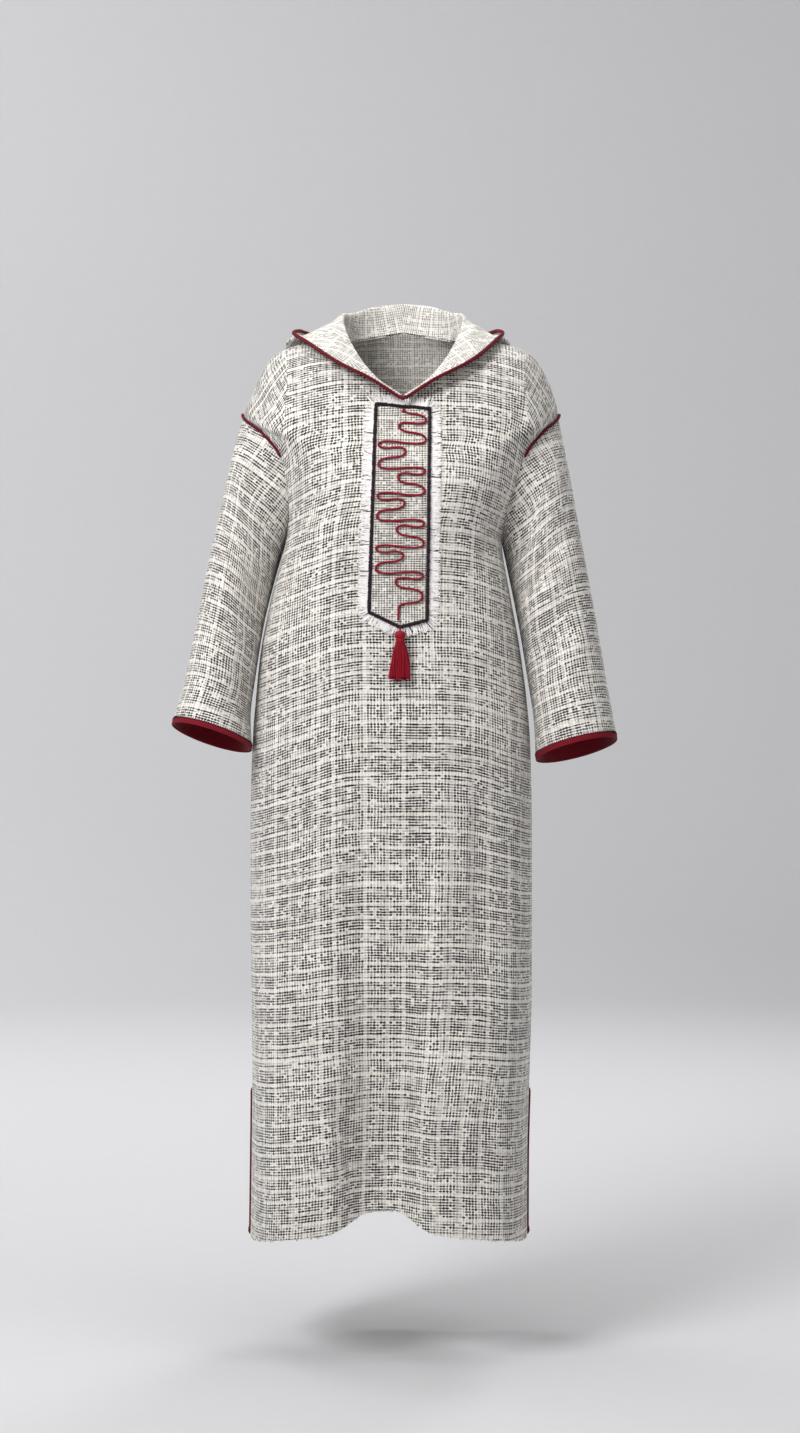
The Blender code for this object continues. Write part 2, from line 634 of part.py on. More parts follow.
def make_fringe(panel):
    """A narrow strip round the placket with a strand on every second length of it."""
    random = np.random.default_rng(5)
    counts = side_counts(FRINGE_PITCH)
    near = round_polygon(offset_polygon(PLACKET, BORDER_RADIUS + SEAM_GAP), counts)
    far = round_polygon(offset_polygon(PLACKET, BORDER_RADIUS + SEAM_GAP + 0.003), counts)
    count = len(near)
    reach = np.repeat([FRINGE_TOP, FRINGE_SIDE, FRINGE_BOTTOM, FRINGE_BOTTOM, FRINGE_SIDE], counts)
    lifts = (CLOTH / 2 + 0.0006, CLOTH / 2 + 0.0016)
    rings = [panel.over(ring[:, 0], ring[:, 1], lift)[0] for ring in (near, far) for lift in lifts]
    points = np.concatenate(rings)
    i = np.arange(count)
    j = (i + 1) % count
    near_low, near_high, far_low, far_high = (i + n * count for n in range(4))
    to_near_low, to_near_high, to_far_low, to_far_high = (j + n * count for n in range(4))
    faces = [
        quads(near_high, to_near_high, to_far_high, far_high),
        quads(near_low, far_low, to_far_low, to_near_low),
        quads(near_low, to_near_low, to_near_high, near_high),
    ]
    bare = i[1::2]
    faces.append(
        quads(far_low[bare], far_high[bare], to_far_high[bare], to_far_low[bare])
    )
    neck_u = np.linspace(-1, 1, 81)
    neck = body(np.full(81, float(NECK_ROW)), neck_u, False)
    tips = []
    for k in i[::2]:
        a, b = far[k], far[(k + 1) % count]
        along = unit(b - a)
        out = np.array([-along[1], along[0]])
        length = reach[k] * random.uniform(0.75, 1.15)
        if k < counts[0]:
            room = np.interp((a + b)[0] / 2, neck[:, 0], neck[:, 2]) - 0.004 - max(a[1], b[1])
            length = max(0.0012, min(length, room))
        out = unit(out + along * random.uniform(-0.25, 0.25))
        middle = (a + b) / 2 + out * length
        half = along * np.linalg.norm(b - a) * 0.3
        flare = 0.0009 * length / FRINGE_SIDE
        for spot, lift in (
            (middle - half, lifts[0] + flare),
            (middle - half, lifts[1] + 1.2 * flare),
            (middle + half, lifts[1] + 1.2 * flare),
            (middle + half, lifts[0] + flare),
        ):
            tips.append(panel.over(spot[0], spot[1], lift)[0])
    tips = np.array(tips)
    base = len(points)
    points = np.concatenate([points, tips.reshape(-1, 3)])
    for number, k in enumerate(i[::2]):
        root = [far_low[k], far_high[k], to_far_high[k], to_far_low[k]]
        tip = [base + 4 * number + corner for corner in range(4)]
        for c in range(4):
            d = (c + 1) % 4
            faces.append(quads([root[c]], [root[d]], [tip[d]], [tip[c]]))
        faces.append(quads([tip[0]], [tip[1]], [tip[2]], [tip[3]]))
    mesh_object("placket_fringe", points, orient(np.concatenate(faces)), (0.85, 0.82, 0.75))


def orient(faces):
    """Turns faces so that neighbours agree, walking from the first."""
    edges = {}
    for number, face in enumerate(faces):
        for k in range(3):
            a, b = int(face[k]), int(face[(k + 1) % 3])
            edges.setdefault((min(a, b), max(a, b)), []).append((number, a < b))
    flip = {0: False}
    waiting = [0]
    while waiting:
        number = waiting.pop()
        face = faces[number]
        for k in range(3):
            a, b = int(face[k]), int(face[(k + 1) % 3])
            for other, forward in edges[(min(a, b), max(a, b))]:
                if other not in flip:
                    flip[other] = flip[number] ^ (forward == (a < b))
                    waiting.append(other)
    return np.array([face[::-1] if flip.get(n) else face for n, face in enumerate(faces)])


def make_tassel(panel):
    """A head with a checkerboard of strands under it, flattened towards the cloth."""
    random = np.random.default_rng(9)
    cells = TASSEL_CELLS
    line = np.linspace(-1, 1, cells + 1)
    grid_x, grid_y = np.meshgrid(line, line, indexing="ij")
    disk_x = grid_x * np.sqrt(1 - grid_y**2 / 2)
    disk_y = grid_y * np.sqrt(1 - grid_x**2 / 2)
    foot, normal = panel.over(-0.0044, TASSEL_TOP - 0.02, 0.0)
    centre = foot + normal * 0.0085

    def level(down, radius, depth):
        return np.stack(
            [
                centre[0] + disk_x * radius,
                centre[1] + disk_y * depth,
                np.full(disk_x.shape, TASSEL_TOP - down),
            ],
            axis=-1,
        )

    edge = [(i, 0) for i in range(cells)] + [(cells, j) for j in range(cells)]
    edge += [(cells - i, cells) for i in range(cells)] + [(0, cells - j) for j in range(cells)]
    edge = np.array(edge)
    bottom = level(TASSEL_HEAD, 0.0055, 0.0045)
    points = list(bottom.reshape(-1, 3))
    index = np.arange((cells + 1) ** 2).reshape(cells + 1, cells + 1)
    faces = []
    below = index[edge[:, 0], edge[:, 1]]
    for down, radius, depth in ((0.011, 0.0038, 0.0034), (0.006, 0.0058, 0.0050), (0.002, 0.0046, 0.0040)):
        start = len(points)
        points += list(level(down, radius, depth)[edge[:, 0], edge[:, 1]])
        above = start + np.arange(len(edge))
        faces.append(quads(below, np.roll(below, -1), np.roll(above, -1), above))
        below = above
    top = len(points)
    points.append([centre[0], centre[1], TASSEL_TOP])
    faces.append(np.stack([below, np.roll(below, -1), np.full(len(below), top)], axis=1))
    for i in range(cells):
        for j in range(cells):
            root = [index[i, j], index[i, j + 1], index[i + 1, j + 1], index[i + 1, j]]
            if (i + j) % 2 == 0:
                faces.append(quads([root[0]], [root[1]], [root[2]], [root[3]]))
                continue
            middle = bottom[i : i + 2, j : j + 2].mean(axis=(0, 1))
            length = (TASSEL_LENGTH - TASSEL_HEAD) * random.uniform(0.93, 1.0)
            ring = root
            corners = np.array([points[r] for r in root]) - middle
            for share in (0.3, 0.7, 1.0):
                spread = 1 + 2.0 * share
                flat = 1 + 0.45 * share
                move = (middle - centre) * [spread, flat, 0] + centre * [1, 1, 0]
                move[2] = middle[2] - length * share
                start = len(points)
                points += list(move + corners * [1.35, 1.0, 0])
                fresh = [start + c for c in range(4)]
                for c in range(4):
                    d = (c + 1) % 4
                    faces.append(quads([ring[c]], [ring[d]], [fresh[d]], [fresh[c]]))
                ring = fresh
            faces.append(quads([ring[0]], [ring[1]], [ring[2]], [ring[3]]))
    mesh_object("tassel", points, orient(np.concatenate(faces)), (0.4, 0.01, 0.03))


def make_body():
    cream = (0.62, 0.6, 0.55)
    for name, back in (("body_front", False), ("body_back", True)):
        points, normals = body_grid(back)
        wall(name, points, normals, CLOTH, cream)


def make_sleeves():
    cream, red = (0.62, 0.6, 0.55), (0.35, 0.01, 0.03)
    for side, word in ((-1, "left"), (1, "right")):
        points, normals = sleeve_surface(side, SLEEVE_STEPS)
        wall(f"sleeve_{word}", points, normals, CLOTH, cream, ring=True)
        band = [SEAM_GAP, SEAM_GAP + CUFF_BINDING_HEIGHT]
        band = np.stack([cuff_ring(points, normals, d, 0) for d in band])
        ends = np.stack([normals[-1], normals[-1]])
        wall(f"cuff_binding_{word}", band, ends, CLOTH, red, ring=True)
        inwards = CLOTH / 2 + SEAM_GAP + FACING_CLOTH / 2
        up = [1 - CUFF_FACING_REACH, 1 - CUFF_FACING_REACH / 2, 1]
        up = np.array(up)[:, None, None]
        turned = unit(normals[-2] * (1 - up) + normals[-1] * up)
        lining = points[-2] * (1 - up) + points[-1] * up - turned * (inwards + 0.0002)
        low = cuff_ring(points, normals, CUFF_BINDING_HEIGHT - 0.001, inwards + 0.0002)
        lining = np.concatenate([lining, low[None]])
        ends = np.concatenate([turned, normals[-1:]])
        wall(f"cuff_facing_{word}", lining, ends, FACING_CLOTH, red, ring=True)


def make_armhole_cords():
    red = (0.2, 0.008, 0.025)
    for side, word in ((-1, "left"), (1, "right")):
        loop, body_normals = armhole_loop(side)
        points, normals = sleeve_surface(side, SLEEVE_STEPS)
        keep = slice(7, 18)
        between = unit(body_normals + normals[0])
        cosine = (between * normals[0]).sum(axis=-1, keepdims=True)
        reach = (CLOTH / 2 + SEAM_GAP + ARMHOLE_CORD_RADIUS) / np.maximum(cosine, 0.80)
        path = (loop + points[0]) / 2 + between * reach
        path = through(path[keep], np.linspace(0, 10, 19))
        guide = through(between[keep], np.linspace(0, 10, 19))
        tube(f"armhole_piping_{word}", path, guide, ARMHOLE_CORD_RADIUS, 6, red)


def make_slit_cords():
    red = (0.2, 0.008, 0.025)
    rows = np.array([0, 0.25, 0.5, 1, 1.5, 1.8])
    for side, word in ((-1, "left"), (1, "right")):
        for back, face in ((False, "front"), (True, "back")):
            edge = body(rows, np.full(len(rows), float(side)), back)
            towards = np.array([0, -1.0 if back else 1.0, 0])
            path = edge + towards * (SEAM_GAP + SLIT_CORD_RADIUS) + [side * 0.0006, 0, 0]
            guide = np.tile([float(side), 0, 0], (len(rows), 1))
            tube(f"slit_piping_{face}_{word}", path, guide, SLIT_CORD_RADIUS, 5, red)


def make_hood():
    rims, guides = [], []
    for side, word in ((-1, "left"), (1, "right")):
        points, normals = hood_surface(side)
        wall(f"hood_{word}", points, normals, CLOTH, (0.62, 0.6, 0.55))
        beyond = unit(points[-1] - points[-2])
        rim = points[-1] + beyond * (SEAM_GAP + 0.0004 + HOOD_CORD_RADIUS)
        rims.append(rim)
        guides.append(normals[-1])
    left, right = rims
    front = (left[0] + right[0]) / 2 + [0, -0.001, -0.003]
    loop = np.concatenate([front[None], left[1:-1], (left[-1:] + right[-1:]) / 2, right[-2:0:-1]])
    guide = np.concatenate([guides[0][:1], guides[0][1:-1], guides[0][-1:], guides[1][-2:0:-1]])
    count = len(loop)
    closed = np.concatenate([loop[-2:], loop, loop[:3]])
    closed_guide = np.concatenate([guide[-2:], guide, guide[:3]])
    at = 2 + np.arange(2 * count) / 2
    tube(
        "hood_piping",
        through(closed, at),
        through(closed_guide, at),
        HOOD_CORD_RADIUS,
        5,
        (0.2, 0.008, 0.025),
        ring=True,
    )


def main():
    for obj in list(bpy.data.objects):
        bpy.data.objects.remove(obj)
    make_body()
    make_sleeves()
    make_armhole_cords()
    make_slit_cords()
    make_hood()
    panel = Panel()
    make_placket(panel)
    make_fringe(panel)
    make_tassel(panel)


if __name__ == "__main__":
    main()
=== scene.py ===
"""The looks of a hooded djellaba robe, worn but with nobody in it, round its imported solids.

Metres, +Z up, front to -Y, the origin between the shoulders at the neck's height. Left means -X.
Rows of the body run from the hem (0) to the neckline (20); across a panel u goes from -1 to 1.
"""

import math

import bpy
import numpy as np
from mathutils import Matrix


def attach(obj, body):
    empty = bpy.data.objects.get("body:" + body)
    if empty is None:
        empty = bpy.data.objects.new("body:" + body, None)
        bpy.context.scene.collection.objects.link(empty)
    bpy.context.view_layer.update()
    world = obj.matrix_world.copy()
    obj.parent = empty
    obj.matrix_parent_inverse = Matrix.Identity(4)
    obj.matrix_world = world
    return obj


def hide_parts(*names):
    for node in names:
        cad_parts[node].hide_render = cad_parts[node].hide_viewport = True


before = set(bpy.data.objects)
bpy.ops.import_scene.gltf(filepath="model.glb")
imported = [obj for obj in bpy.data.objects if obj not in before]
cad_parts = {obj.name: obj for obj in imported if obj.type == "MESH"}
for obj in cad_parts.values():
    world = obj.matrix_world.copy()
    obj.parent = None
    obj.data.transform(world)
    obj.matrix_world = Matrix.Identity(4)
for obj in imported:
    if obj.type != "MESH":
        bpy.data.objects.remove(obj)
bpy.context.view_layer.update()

bl_info = {
    "name": "Djellaba robe",
    "version": (1, 0, 0),
    "blender": (4, 5, 0),
    "location": "3D View > Sidebar > Robe",
    "description": "Builds a hooded slub weave robe with its piping, placket, fringe and tassel",
    "category": "Add Mesh",
}

# Sewing sizes, most of them shared with the solids
SEAM_GAP = 0.0003
RIM_EASE = 0.0004
FACING_CLOTH = 0.001
CUFF_BINDING_HEIGHT = 0.008
CUFF_FACING_ROWS = 14
CUFF_TILT = math.radians(11)
SLIT_HALF_OPENING = 0.006
SLIT_TOP_ROW, ARMPIT_ROW, TIP_ROW, NECK_ROW = 2, 10, 15, 20
ARMHOLE_FRONT, ARMHOLE_BACK = 0.064, 0.068

BODY_COLUMNS = (
    "level", "half_width", "lean", "front", "front_rise", "back", "back_rise", "corner", "vee",
)
BODY = (
    (-1.2790, 0.1990, -0.0205, -0.150, 0.030, 0.150, 0.000, 0.012, 0.0),  # hem
    (-1.1600, 0.1985, -0.0195, -0.150, 0.024, 0.150, 0.000, 0.014, 0.0),
    (-1.0470, 0.1995, -0.0175, -0.150, 0.015, 0.150, 0.000, 0.012, 0.0),  # slit top
    (-0.9425, 0.2015, -0.0165, -0.150, 0.012, 0.150, 0.000, 0.012, 0.0),
    (-0.8000, 0.2025, -0.0170, -0.149, 0.010, 0.149, 0.000, 0.012, 0.0),
    (-0.6960, 0.2025, -0.0170, -0.147, 0.010, 0.148, 0.000, 0.012, 0.0),
    (-0.5730, 0.2000, -0.0168, -0.145, 0.010, 0.143, 0.000, 0.012, 0.0),
    (-0.5075, 0.1950, -0.0170, -0.143, 0.010, 0.138, 0.002, 0.012, 0.0),
    (-0.4350, 0.1863, -0.0180, -0.141, 0.011, 0.133, 0.005, 0.012, 0.0),
    (-0.3625, 0.1726, -0.0174, -0.139, 0.013, 0.130, 0.009, 0.012, 0.0),
    (-0.2830, 0.1560, -0.0138, -0.137, 0.015, 0.128, 0.013, 0.012, 0.0),  # armpit
    (-0.2450, 0.1537, -0.0087, -0.1349, 0.002, 0.127, 0.009, 0.010, 0.0),
    (-0.2000, 0.1624, -0.0029, -0.1316, -0.018, 0.126, 0.003, 0.008, 0.0),
    (-0.1580, 0.1733, -0.0007, -0.1281, -0.040, 0.124, -0.004, 0.006, 0.0),
    (-0.1220, 0.2000, -0.0010, -0.1238, -0.056, 0.121, -0.011, 0.005, 0.0),
    (-0.0940, 0.2260, -0.0030, -0.1206, -0.071, 0.118, -0.016, 0.004, 0.0),  # tip
    (-0.0650, 0.2168, 0.0000, -0.1165, -0.085, 0.112, -0.015, 0.004, 0.0),
    (-0.0360, 0.2045, 0.0000, -0.1123, -0.100, 0.105, -0.014, 0.004, 0.2),
    (-0.0100, 0.1860, 0.0000, -0.1076, -0.112, 0.098, -0.010, 0.003, 0.4),
    (0.0060, 0.1500, 0.0000, -0.1019, -0.112, 0.087, 0.004, 0.002, 0.6),
    (0.0120, 0.0980, 0.0000, -0.092, -0.093, 0.072, 0.023, 0.000, 0.6),  # neck
)

# Folds hang from `top`, are full at `full` and, if `low` is set, end again at `low`
FOLD_COLUMNS = ("angle", "drift", "width", "square", "depth", "lift", "top", "full", "low")
FRONT_FOLDS = (
    (-3, 0, 16, 4, -0.048, 0.024, -0.62, -1.24, None),
    (-45, 0, 18, 2, 0.012, 0.000, -0.75, -1.20, None),
    (42, 0, 18, 2, 0.014, 0.000, -0.75, -1.20, None),
    (37, 4, 11, 2, -0.006, 0.000, -0.55, -0.78, -1.05),
    (-13, 2, 11, 2, -0.005, 0.000, -0.55, -0.75, -0.98),
)
BACK_FOLDS = (
    (-32, -4, 16, 2, 0.013, 0.000, -0.40, -1.15, None),
    (2, 3, 15, 2, -0.016, 0.006, -0.45, -1.15, None),
    (34, 4, 17, 2, 0.015, 0.000, -0.50, -1.20, None),
)

# Creases pressed into the cloth, listed one by one: from (x, z) to (x, z), half width, depth along the
# outward normal
FRONT_CREASES = (
    (0.104, -0.600, 0.108, -0.975, 0.011, -0.0040),
    (-0.056, -0.600, -0.059, -0.920, 0.010, -0.0030),
    (0.052, -0.700, 0.047, -0.900, 0.013, 0.0022),
    (-0.094, -1.070, -0.058, -1.215, 0.010, -0.0050),
    (0.003, -1.015, 0.020, -1.235, 0.011, -0.0045),
    (0.118, -1.060, 0.098, -1.225, 0.012, -0.0035),
    (-0.140, -0.760, -0.135, -1.010, 0.012, 0.0030),
    (-0.171, -0.088, -0.172, -0.165, 0.0065, -0.0030),
    (0.166, -0.086, 0.166, -0.160, 0.0065, -0.0030),
    (-0.150, -0.262, -0.112, -0.330, 0.009, -0.0028),
    (0.138, -0.258, 0.104, -0.322, 0.009, -0.0028),
    (-0.134, -0.300, -0.118, -0.420, 0.011, 0.0025),
    (0.128, -0.310, 0.118, -0.450, 0.012, 0.0022),
    (-0.124, -0.500, -0.085, -0.530, 0.010, -0.0016),
    (0.085, -0.470, 0.132, -0.490, 0.010, -0.0016),
)
BACK_CREASES = (
    (-0.096, -0.520, -0.104, -0.930, 0.013, -0.0045),
    (0.060, -0.560, 0.066, -0.985, 0.012, -0.0040),
    (-0.012, -0.640, -0.018, -0.900, 0.013, 0.0030),
    (0.128, -0.720, 0.118, -1.080, 0.012, 0.0035),
    (-0.058, -1.010, -0.072, -1.240, 0.011, -0.0045),
    (0.088, -1.080, 0.106, -1.250, 0.012, -0.0040),
    (-0.140, -0.255, -0.098, -0.345, 0.010, -0.0030),
    (0.134, -0.250, 0.094, -0.330, 0.010, -0.0030),
    (-0.150, -0.110, -0.148, -0.200, 0.008, -0.0025),
    (0.150, -0.105, 0.146, -0.205, 0.008, -0.0025),
    (-0.070, -0.400, -0.010, -0.425, 0.012, -0.0020),
    (0.020, -0.455, 0.085, -0.440, 0.012, -0.0018),
)

SLEEVE_COLUMNS = ("outer_x", "outer_z", "inner_x", "inner_z", "forward", "half_depth")
SLEEVE_LEFT = (
    (-0.2420, -0.1380, -0.1810, -0.312, 0.000, 0.0660),
    (-0.2595, -0.2175, -0.1895, -0.345, 0.010, 0.0660),
    (-0.2780, -0.3045, -0.2020, -0.400, 0.020, 0.0670),
    (-0.3000, -0.4205, -0.2135, -0.475, 0.030, 0.0690),
    (-0.3130, -0.4880, -0.2195, -0.525, 0.040, 0.0705),
    (-0.3265, -0.5360, -0.2170, -0.570, 0.056, 0.0720),
)
SLEEVE_RIGHT = (
    (0.2305, -0.1305, 0.1510, -0.312, 0.000, 0.0660),
    (0.2465, -0.2175, 0.1575, -0.345, 0.010, 0.0660),
    (0.2610, -0.3045, 0.1680, -0.400, 0.020, 0.0670),
    (0.2810, -0.4205, 0.1800, -0.475, 0.030, 0.0690),
    (0.2915, -0.4880, 0.1880, -0.532, 0.040, 0.0705),
    (0.3035, -0.5570, 0.1905, -0.584, 0.050, 0.0720),
)

# How much of the full droop the wefts have at each height of the body: (z, share)
DROOP_SHARES = (
    (-1.28, 0.45), (-0.87, 0.50), (-0.70, 0.90), (-0.60, 1.00), (-0.25, 1.00),
    (-0.17, 0.75), (-0.11, 0.45), (-0.065, 0.30),
)

# The rounding of the shoulders, the middle that the wefts fall from, and the shoulders' caps:
# from these heights up, a cap starts this far from the middle
SHOULDER_RADIUS = 0.105
WEFT_MIDDLE = 0.005
CAP_LEVELS, CAP_EDGES = (-0.150, -0.065), (0.176, 0.168)

# Creases of a sleeve: ring, angle round it (0 inner, 90 front, 180 outer), reaches, depth, slant
LEFT_CREASES = (
    (0.7, 105, 0.9, 20, -0.0060, 0),
    (1.3, 48, 0.5, 22, 0.0050, 0),
    (2.6, 55, 0.6, 26, -0.0060, 0),
    (3.6, 250, 0.7, 30, -0.0060, 0),
    (0.55, 60, 0.30, 24, -0.0030, 25),
    (1.9, 75, 0.22, 30, -0.0028, 30),
    (3.35, 62, 0.28, 34, -0.0040, 18),
    (3.9, 80, 0.22, 30, 0.0030, 14),
    (4.6, 120, 0.40, 24, -0.0025, 0),
    (2.2, 215, 0.30, 34, -0.0035, -24),
    (4.5, 285, 0.40, 30, -0.0030, 10),
    (1.0, 300, 0.40, 22, -0.0030, -20),
)
RIGHT_CREASES = (
    (0.8, 75, 0.9, 20, -0.0050, 0),
    (2.4, 95, 0.4, 45, -0.0070, 0),
    (3.0, 60, 0.5, 30, 0.0050, 0),
    (3.6, 260, 0.7, 30, -0.0060, 0),
    (0.60, 55, 0.28, 26, -0.0030, 25),
    (1.55, 70, 0.24, 34, -0.0026, 28),
    (3.5, 80, 0.30, 40, -0.0045, -26),
    (4.0, 110, 0.24, 30, 0.0028, -20),
    (4.7, 70, 0.35, 26, -0.0025, 0),
    (2.0, 225, 0.30, 34, -0.0035, -22),
    (4.6, 290, 0.40, 30, -0.0030, 10),
    (1.1, 295, 0.40, 22, -0.0030, -20),
)

# The hood laid back: the angle from the neck's front, then x, y and z of the rolled, the low,
# the outer and the rim station, for the +X side
HOOD = (
    (0, 0.0020, -0.097, -0.0775, 0.004, -0.100, -0.0780, 0.005, -0.103, -0.0790, 0.0055, -0.106, -0.0800),
    (25, 0.0370, -0.094, -0.0530, 0.041, -0.099, -0.0525, 0.044, -0.103, -0.0530, 0.0460, -0.107, -0.0540),
    (50, 0.0640, -0.073, -0.0180, 0.075, -0.078, -0.0180, 0.087, -0.084, -0.0210, 0.0960, -0.089, -0.0250),
    (75, 0.0830, -0.037, 0.0240, 0.101, -0.037, 0.0240, 0.121, -0.036, 0.0170, 0.1370, -0.035, 0.0120),
    (90, 0.0870, -0.006, 0.0460, 0.108, -0.002, 0.0330, 0.146, 0.003, 0.0180, 0.1500, 0.006, 0.0250),
    (106, 0.0840, 0.030, 0.0570, 0.116, 0.048, 0.0220, 0.164, 0.053, 0.0120, 0.1450, 0.048, 0.0330),
    (122, 0.0740, 0.050, 0.0600, 0.117, 0.102, -0.0260, 0.162, 0.106, -0.0060, 0.1330, 0.090, 0.0350),
    (138, 0.0600, 0.067, 0.0620, 0.101, 0.136, -0.1000, 0.125, 0.146, -0.0420, 0.1080, 0.124, 0.0270),
    (160, 0.0320, 0.085, 0.0640, 0.052, 0.148, -0.1950, 0.066, 0.180, -0.0950, 0.0560, 0.160, 0.0040),
    (180, 0.0005, 0.091, 0.0640, 0.0005, 0.152, -0.2400, 0.0005, 0.194, -0.1200, 0.0005, 0.175, -0.0080),
)
HOOD_LEAN = -0.007
# Soft dents of the hood: angle round the neck, step along it, reaches, depth
HOOD_DENTS = (
    (78, 2.1, 16, 0.5, -0.0030),
    (112, 1.6, 14, 0.5, -0.0035),
    (130, 2.4, 12, 0.6, 0.0035),
    (150, 1.5, 12, 0.6, -0.0040),
    (168, 2.3, 9, 0.7, 0.0035),
    (142, 3.3, 14, 0.4, -0.0035),
)

# The placket on the chest, corners as (x, z), then what lies on it
PLACKET = (
    (-0.0382, -0.0915),
    (0.0380, -0.0985),
    (0.0333, -0.3969),
    (-0.0044, -0.4066),
    (-0.0476, -0.3857),
)
PLACKET_CLOTH = 0.0015
CORD_HALF_WIDTH = 0.0325
CORD_UNITS = 7
CORD_ADVANCE = 0.0365
TASSEL_TOP = -0.4110
TASSEL_MIDDLE = -0.0044
TASSEL_STAND_OFF = 0.0085
TASSEL_NECK = 0.0145
TASSEL_FLATNESS = 0.86
SKIRT_YARNS = 230
GOLDEN_ANGLE = 2.399963

# Distances along a line from one yarn, stitch or step of a cord to the next
HEM_YARN_SPACING = 0.0013
OVERCAST_SPACING = 0.0034
FRINGE_SPACING = 0.00055
CORD_STEP = 0.0009
RIM_CORD_STEP = 0.0011
STEPS_TO_A_STITCH = 3

SIDES = ((-1, "left"), (1, "right"))

# How each yarn is wound or laid: pitch, slant, roughness, sheen, how light its dark colour is (a share
# of its colour; painted shade in its grooves and a darker tone) and the height of its relief
YARNS = {
    "hem yarn": (0.0012, 0.30, 0.90, 0.10, 0.85, 0.0001),
    "hem dark yarn": (0.0012, 0.30, 0.90, 0.08, 0.35, 0.0005),
    "cuff binding cloth": (0.0007, 0.05, 0.80, 0.00, 0.60, 0.0002),
    "cuff facing cloth": (0.0006, 0.00, 0.60, 0.10, 0.60, 0.0001),
    "cuff overcast yarn": (0.0006, 0.40, 0.70, 0.08, 0.35, 0.0005),
    "hood rim cord": (0.0026, 0.55, 0.80, 0.03, 0.35, 0.0005),
    "seam cord": (0.0016, 0.50, 0.80, 0.03, 0.35, 0.0005),
    "placket border yarn": (0.0022, 0.80, 0.75, 0.20, 0.35, 0.0005),
    "couched cord yarn": (0.0018, 0.50, 0.60, 0.10, 0.55, 0.0005),
    "fringe yarn": (0.0012, 0.30, 0.85, 0.20, 0.93, 0.0001),
    "fringe dark yarn": (0.0012, 0.30, 0.90, 0.08, 0.35, 0.0005),
    "tassel yarn": (0.0010, 0.35, 0.60, 0.08, 0.50, 0.0002),
}

CAMERA = (-0.00435, -3.6, -0.5307)
CAMERA_LENS = 62.4
FLOOR = -1.443

# Each light: where it is, what it points at, its size, the setting of its power and its share
LIGHTS = {
    "key": ((-1.6, -2.0, 1.30), (0, 0, -0.35), 1.3, "key_power", 1.0),
    "fill": ((1.7, -2.7, 1.0), (0, 0, -0.25), 2.0, "fill_power", 1.0),
    "top": ((-0.2, -0.5, 2.2), (0, 0.2, -0.6), 2.0, "key_power", 0.35),
    "back": ((1.4, 2.8, 1.6), (0, 0, -0.5), 1.6, "key_power", 0.55),
    "wall": ((-2.2, 1.6, 3.0), (-1.9, 6.7, 0.2), 2.4, "wall_power", 1.0),
    "near wall": ((2.0, -1.6, 3.2), (1.5, -6.7, 0.4), 2.4, "wall_power", 0.5),
}


def paint(red, green, blue):
    """A linear colour from the 0 to 255 values that a paint chart gives."""
    chart = np.array([red, green, blue]) / 255
    linear = np.where(chart <= 0.04045, chart / 12.92, ((chart + 0.055) / 1.055) ** 2.4)
    return (*(float(c) for c in linear), 1.0)


def length_setting(name, default, description, most):
    return bpy.props.FloatProperty(
        name=name, default=default, description=description, min=0.0, max=most,
        precision=5, subtype="DISTANCE", unit="LENGTH",
    )


def share_setting(name, default, description):
    return bpy.props.FloatProperty(
        name=name, default=default, description=description, min=0.0, max=1.0, subtype="FACTOR"
    )


def colour_setting(name, default, description):
    return bpy.props.FloatVectorProperty(
        name=name, default=default, description=description, size=4, min=0.0, max=1.0,
        subtype="COLOR",
    )


def power_setting(name, default, description):
    return bpy.props.FloatProperty(
        name=name, default=default, description=description, min=0.0, max=5000.0, unit="POWER"
    )


class ROBE_PG_cloth(bpy.types.PropertyGroup):
    """The woven cloth of the robe."""

    thickness: length_setting("Thickness", 0.002, "Thickness of the woven cloth", 0.003)
    warp_pitch: length_setting("Warp pitch", 0.0045, "From one dark warp to the next", 0.02)
    weft_pitch: length_setting("Weft pitch", 0.0038, "From one dark weft to the next", 0.02)
    wander: length_setting("Wander", 0.0005, "How far a yarn strays from its line", 0.003)
    droop: length_setting("Droop", 0.026, "How far the wefts fall from middle to side", 0.1)
    ground: colour_setting("Ground", paint(248, 244, 236), "The cream yarn")
    flax: colour_setting("Flax", paint(222, 215, 206), "The darker of the cream yarns")
    slub: colour_setting("Slub", paint(24, 18, 18), "The dark slub yarn")
    reverse_slub: colour_setting("Reverse slub", paint(98, 91, 86), "Slubs seen from inside")


class ROBE_PG_trims(bpy.types.PropertyGroup):
    """Cords, bindings, fringe and tassel."""

    hood_cord: length_setting("Hood cord", 0.0024, "Radius of the cord on the hood's rim", 0.01)
    armhole_cord: length_setting("Armhole cord", 0.002, "Radius of the armhole's piping", 0.01)
    slit_cord: length_setting("Slit cord", 0.0016, "Radius of the side slits' piping", 0.01)
    border: length_setting("Border", 0.0025, "Radius of the placket's border", 0.01)
    couched: length_setting("Couched cord", 0.0015, "Radius of the cord laid on the placket", 0.01)
    fringe: length_setting("Fringe", 0.0165, "Length of the placket's fringe", 0.05)
    tassel: length_setting("Tassel", 0.0670, "Length of the tassel", 0.2)
    wine: colour_setting("Wine", paint(118, 10, 33), "The cord of the hood and seams")
    plum: colour_setting("Plum", paint(42, 18, 33), "The placket's border")
    crimson: colour_setting("Crimson", paint(160, 20, 46), "The couched cord")
    cuff: colour_setting("Cuff", paint(130, 6, 30), "The cuffs' bands and facings")
    rose: colour_setting("Rose", paint(164, 8, 38), "The tassel")
    white: colour_setting("White", paint(252, 248, 246), "The fringe")


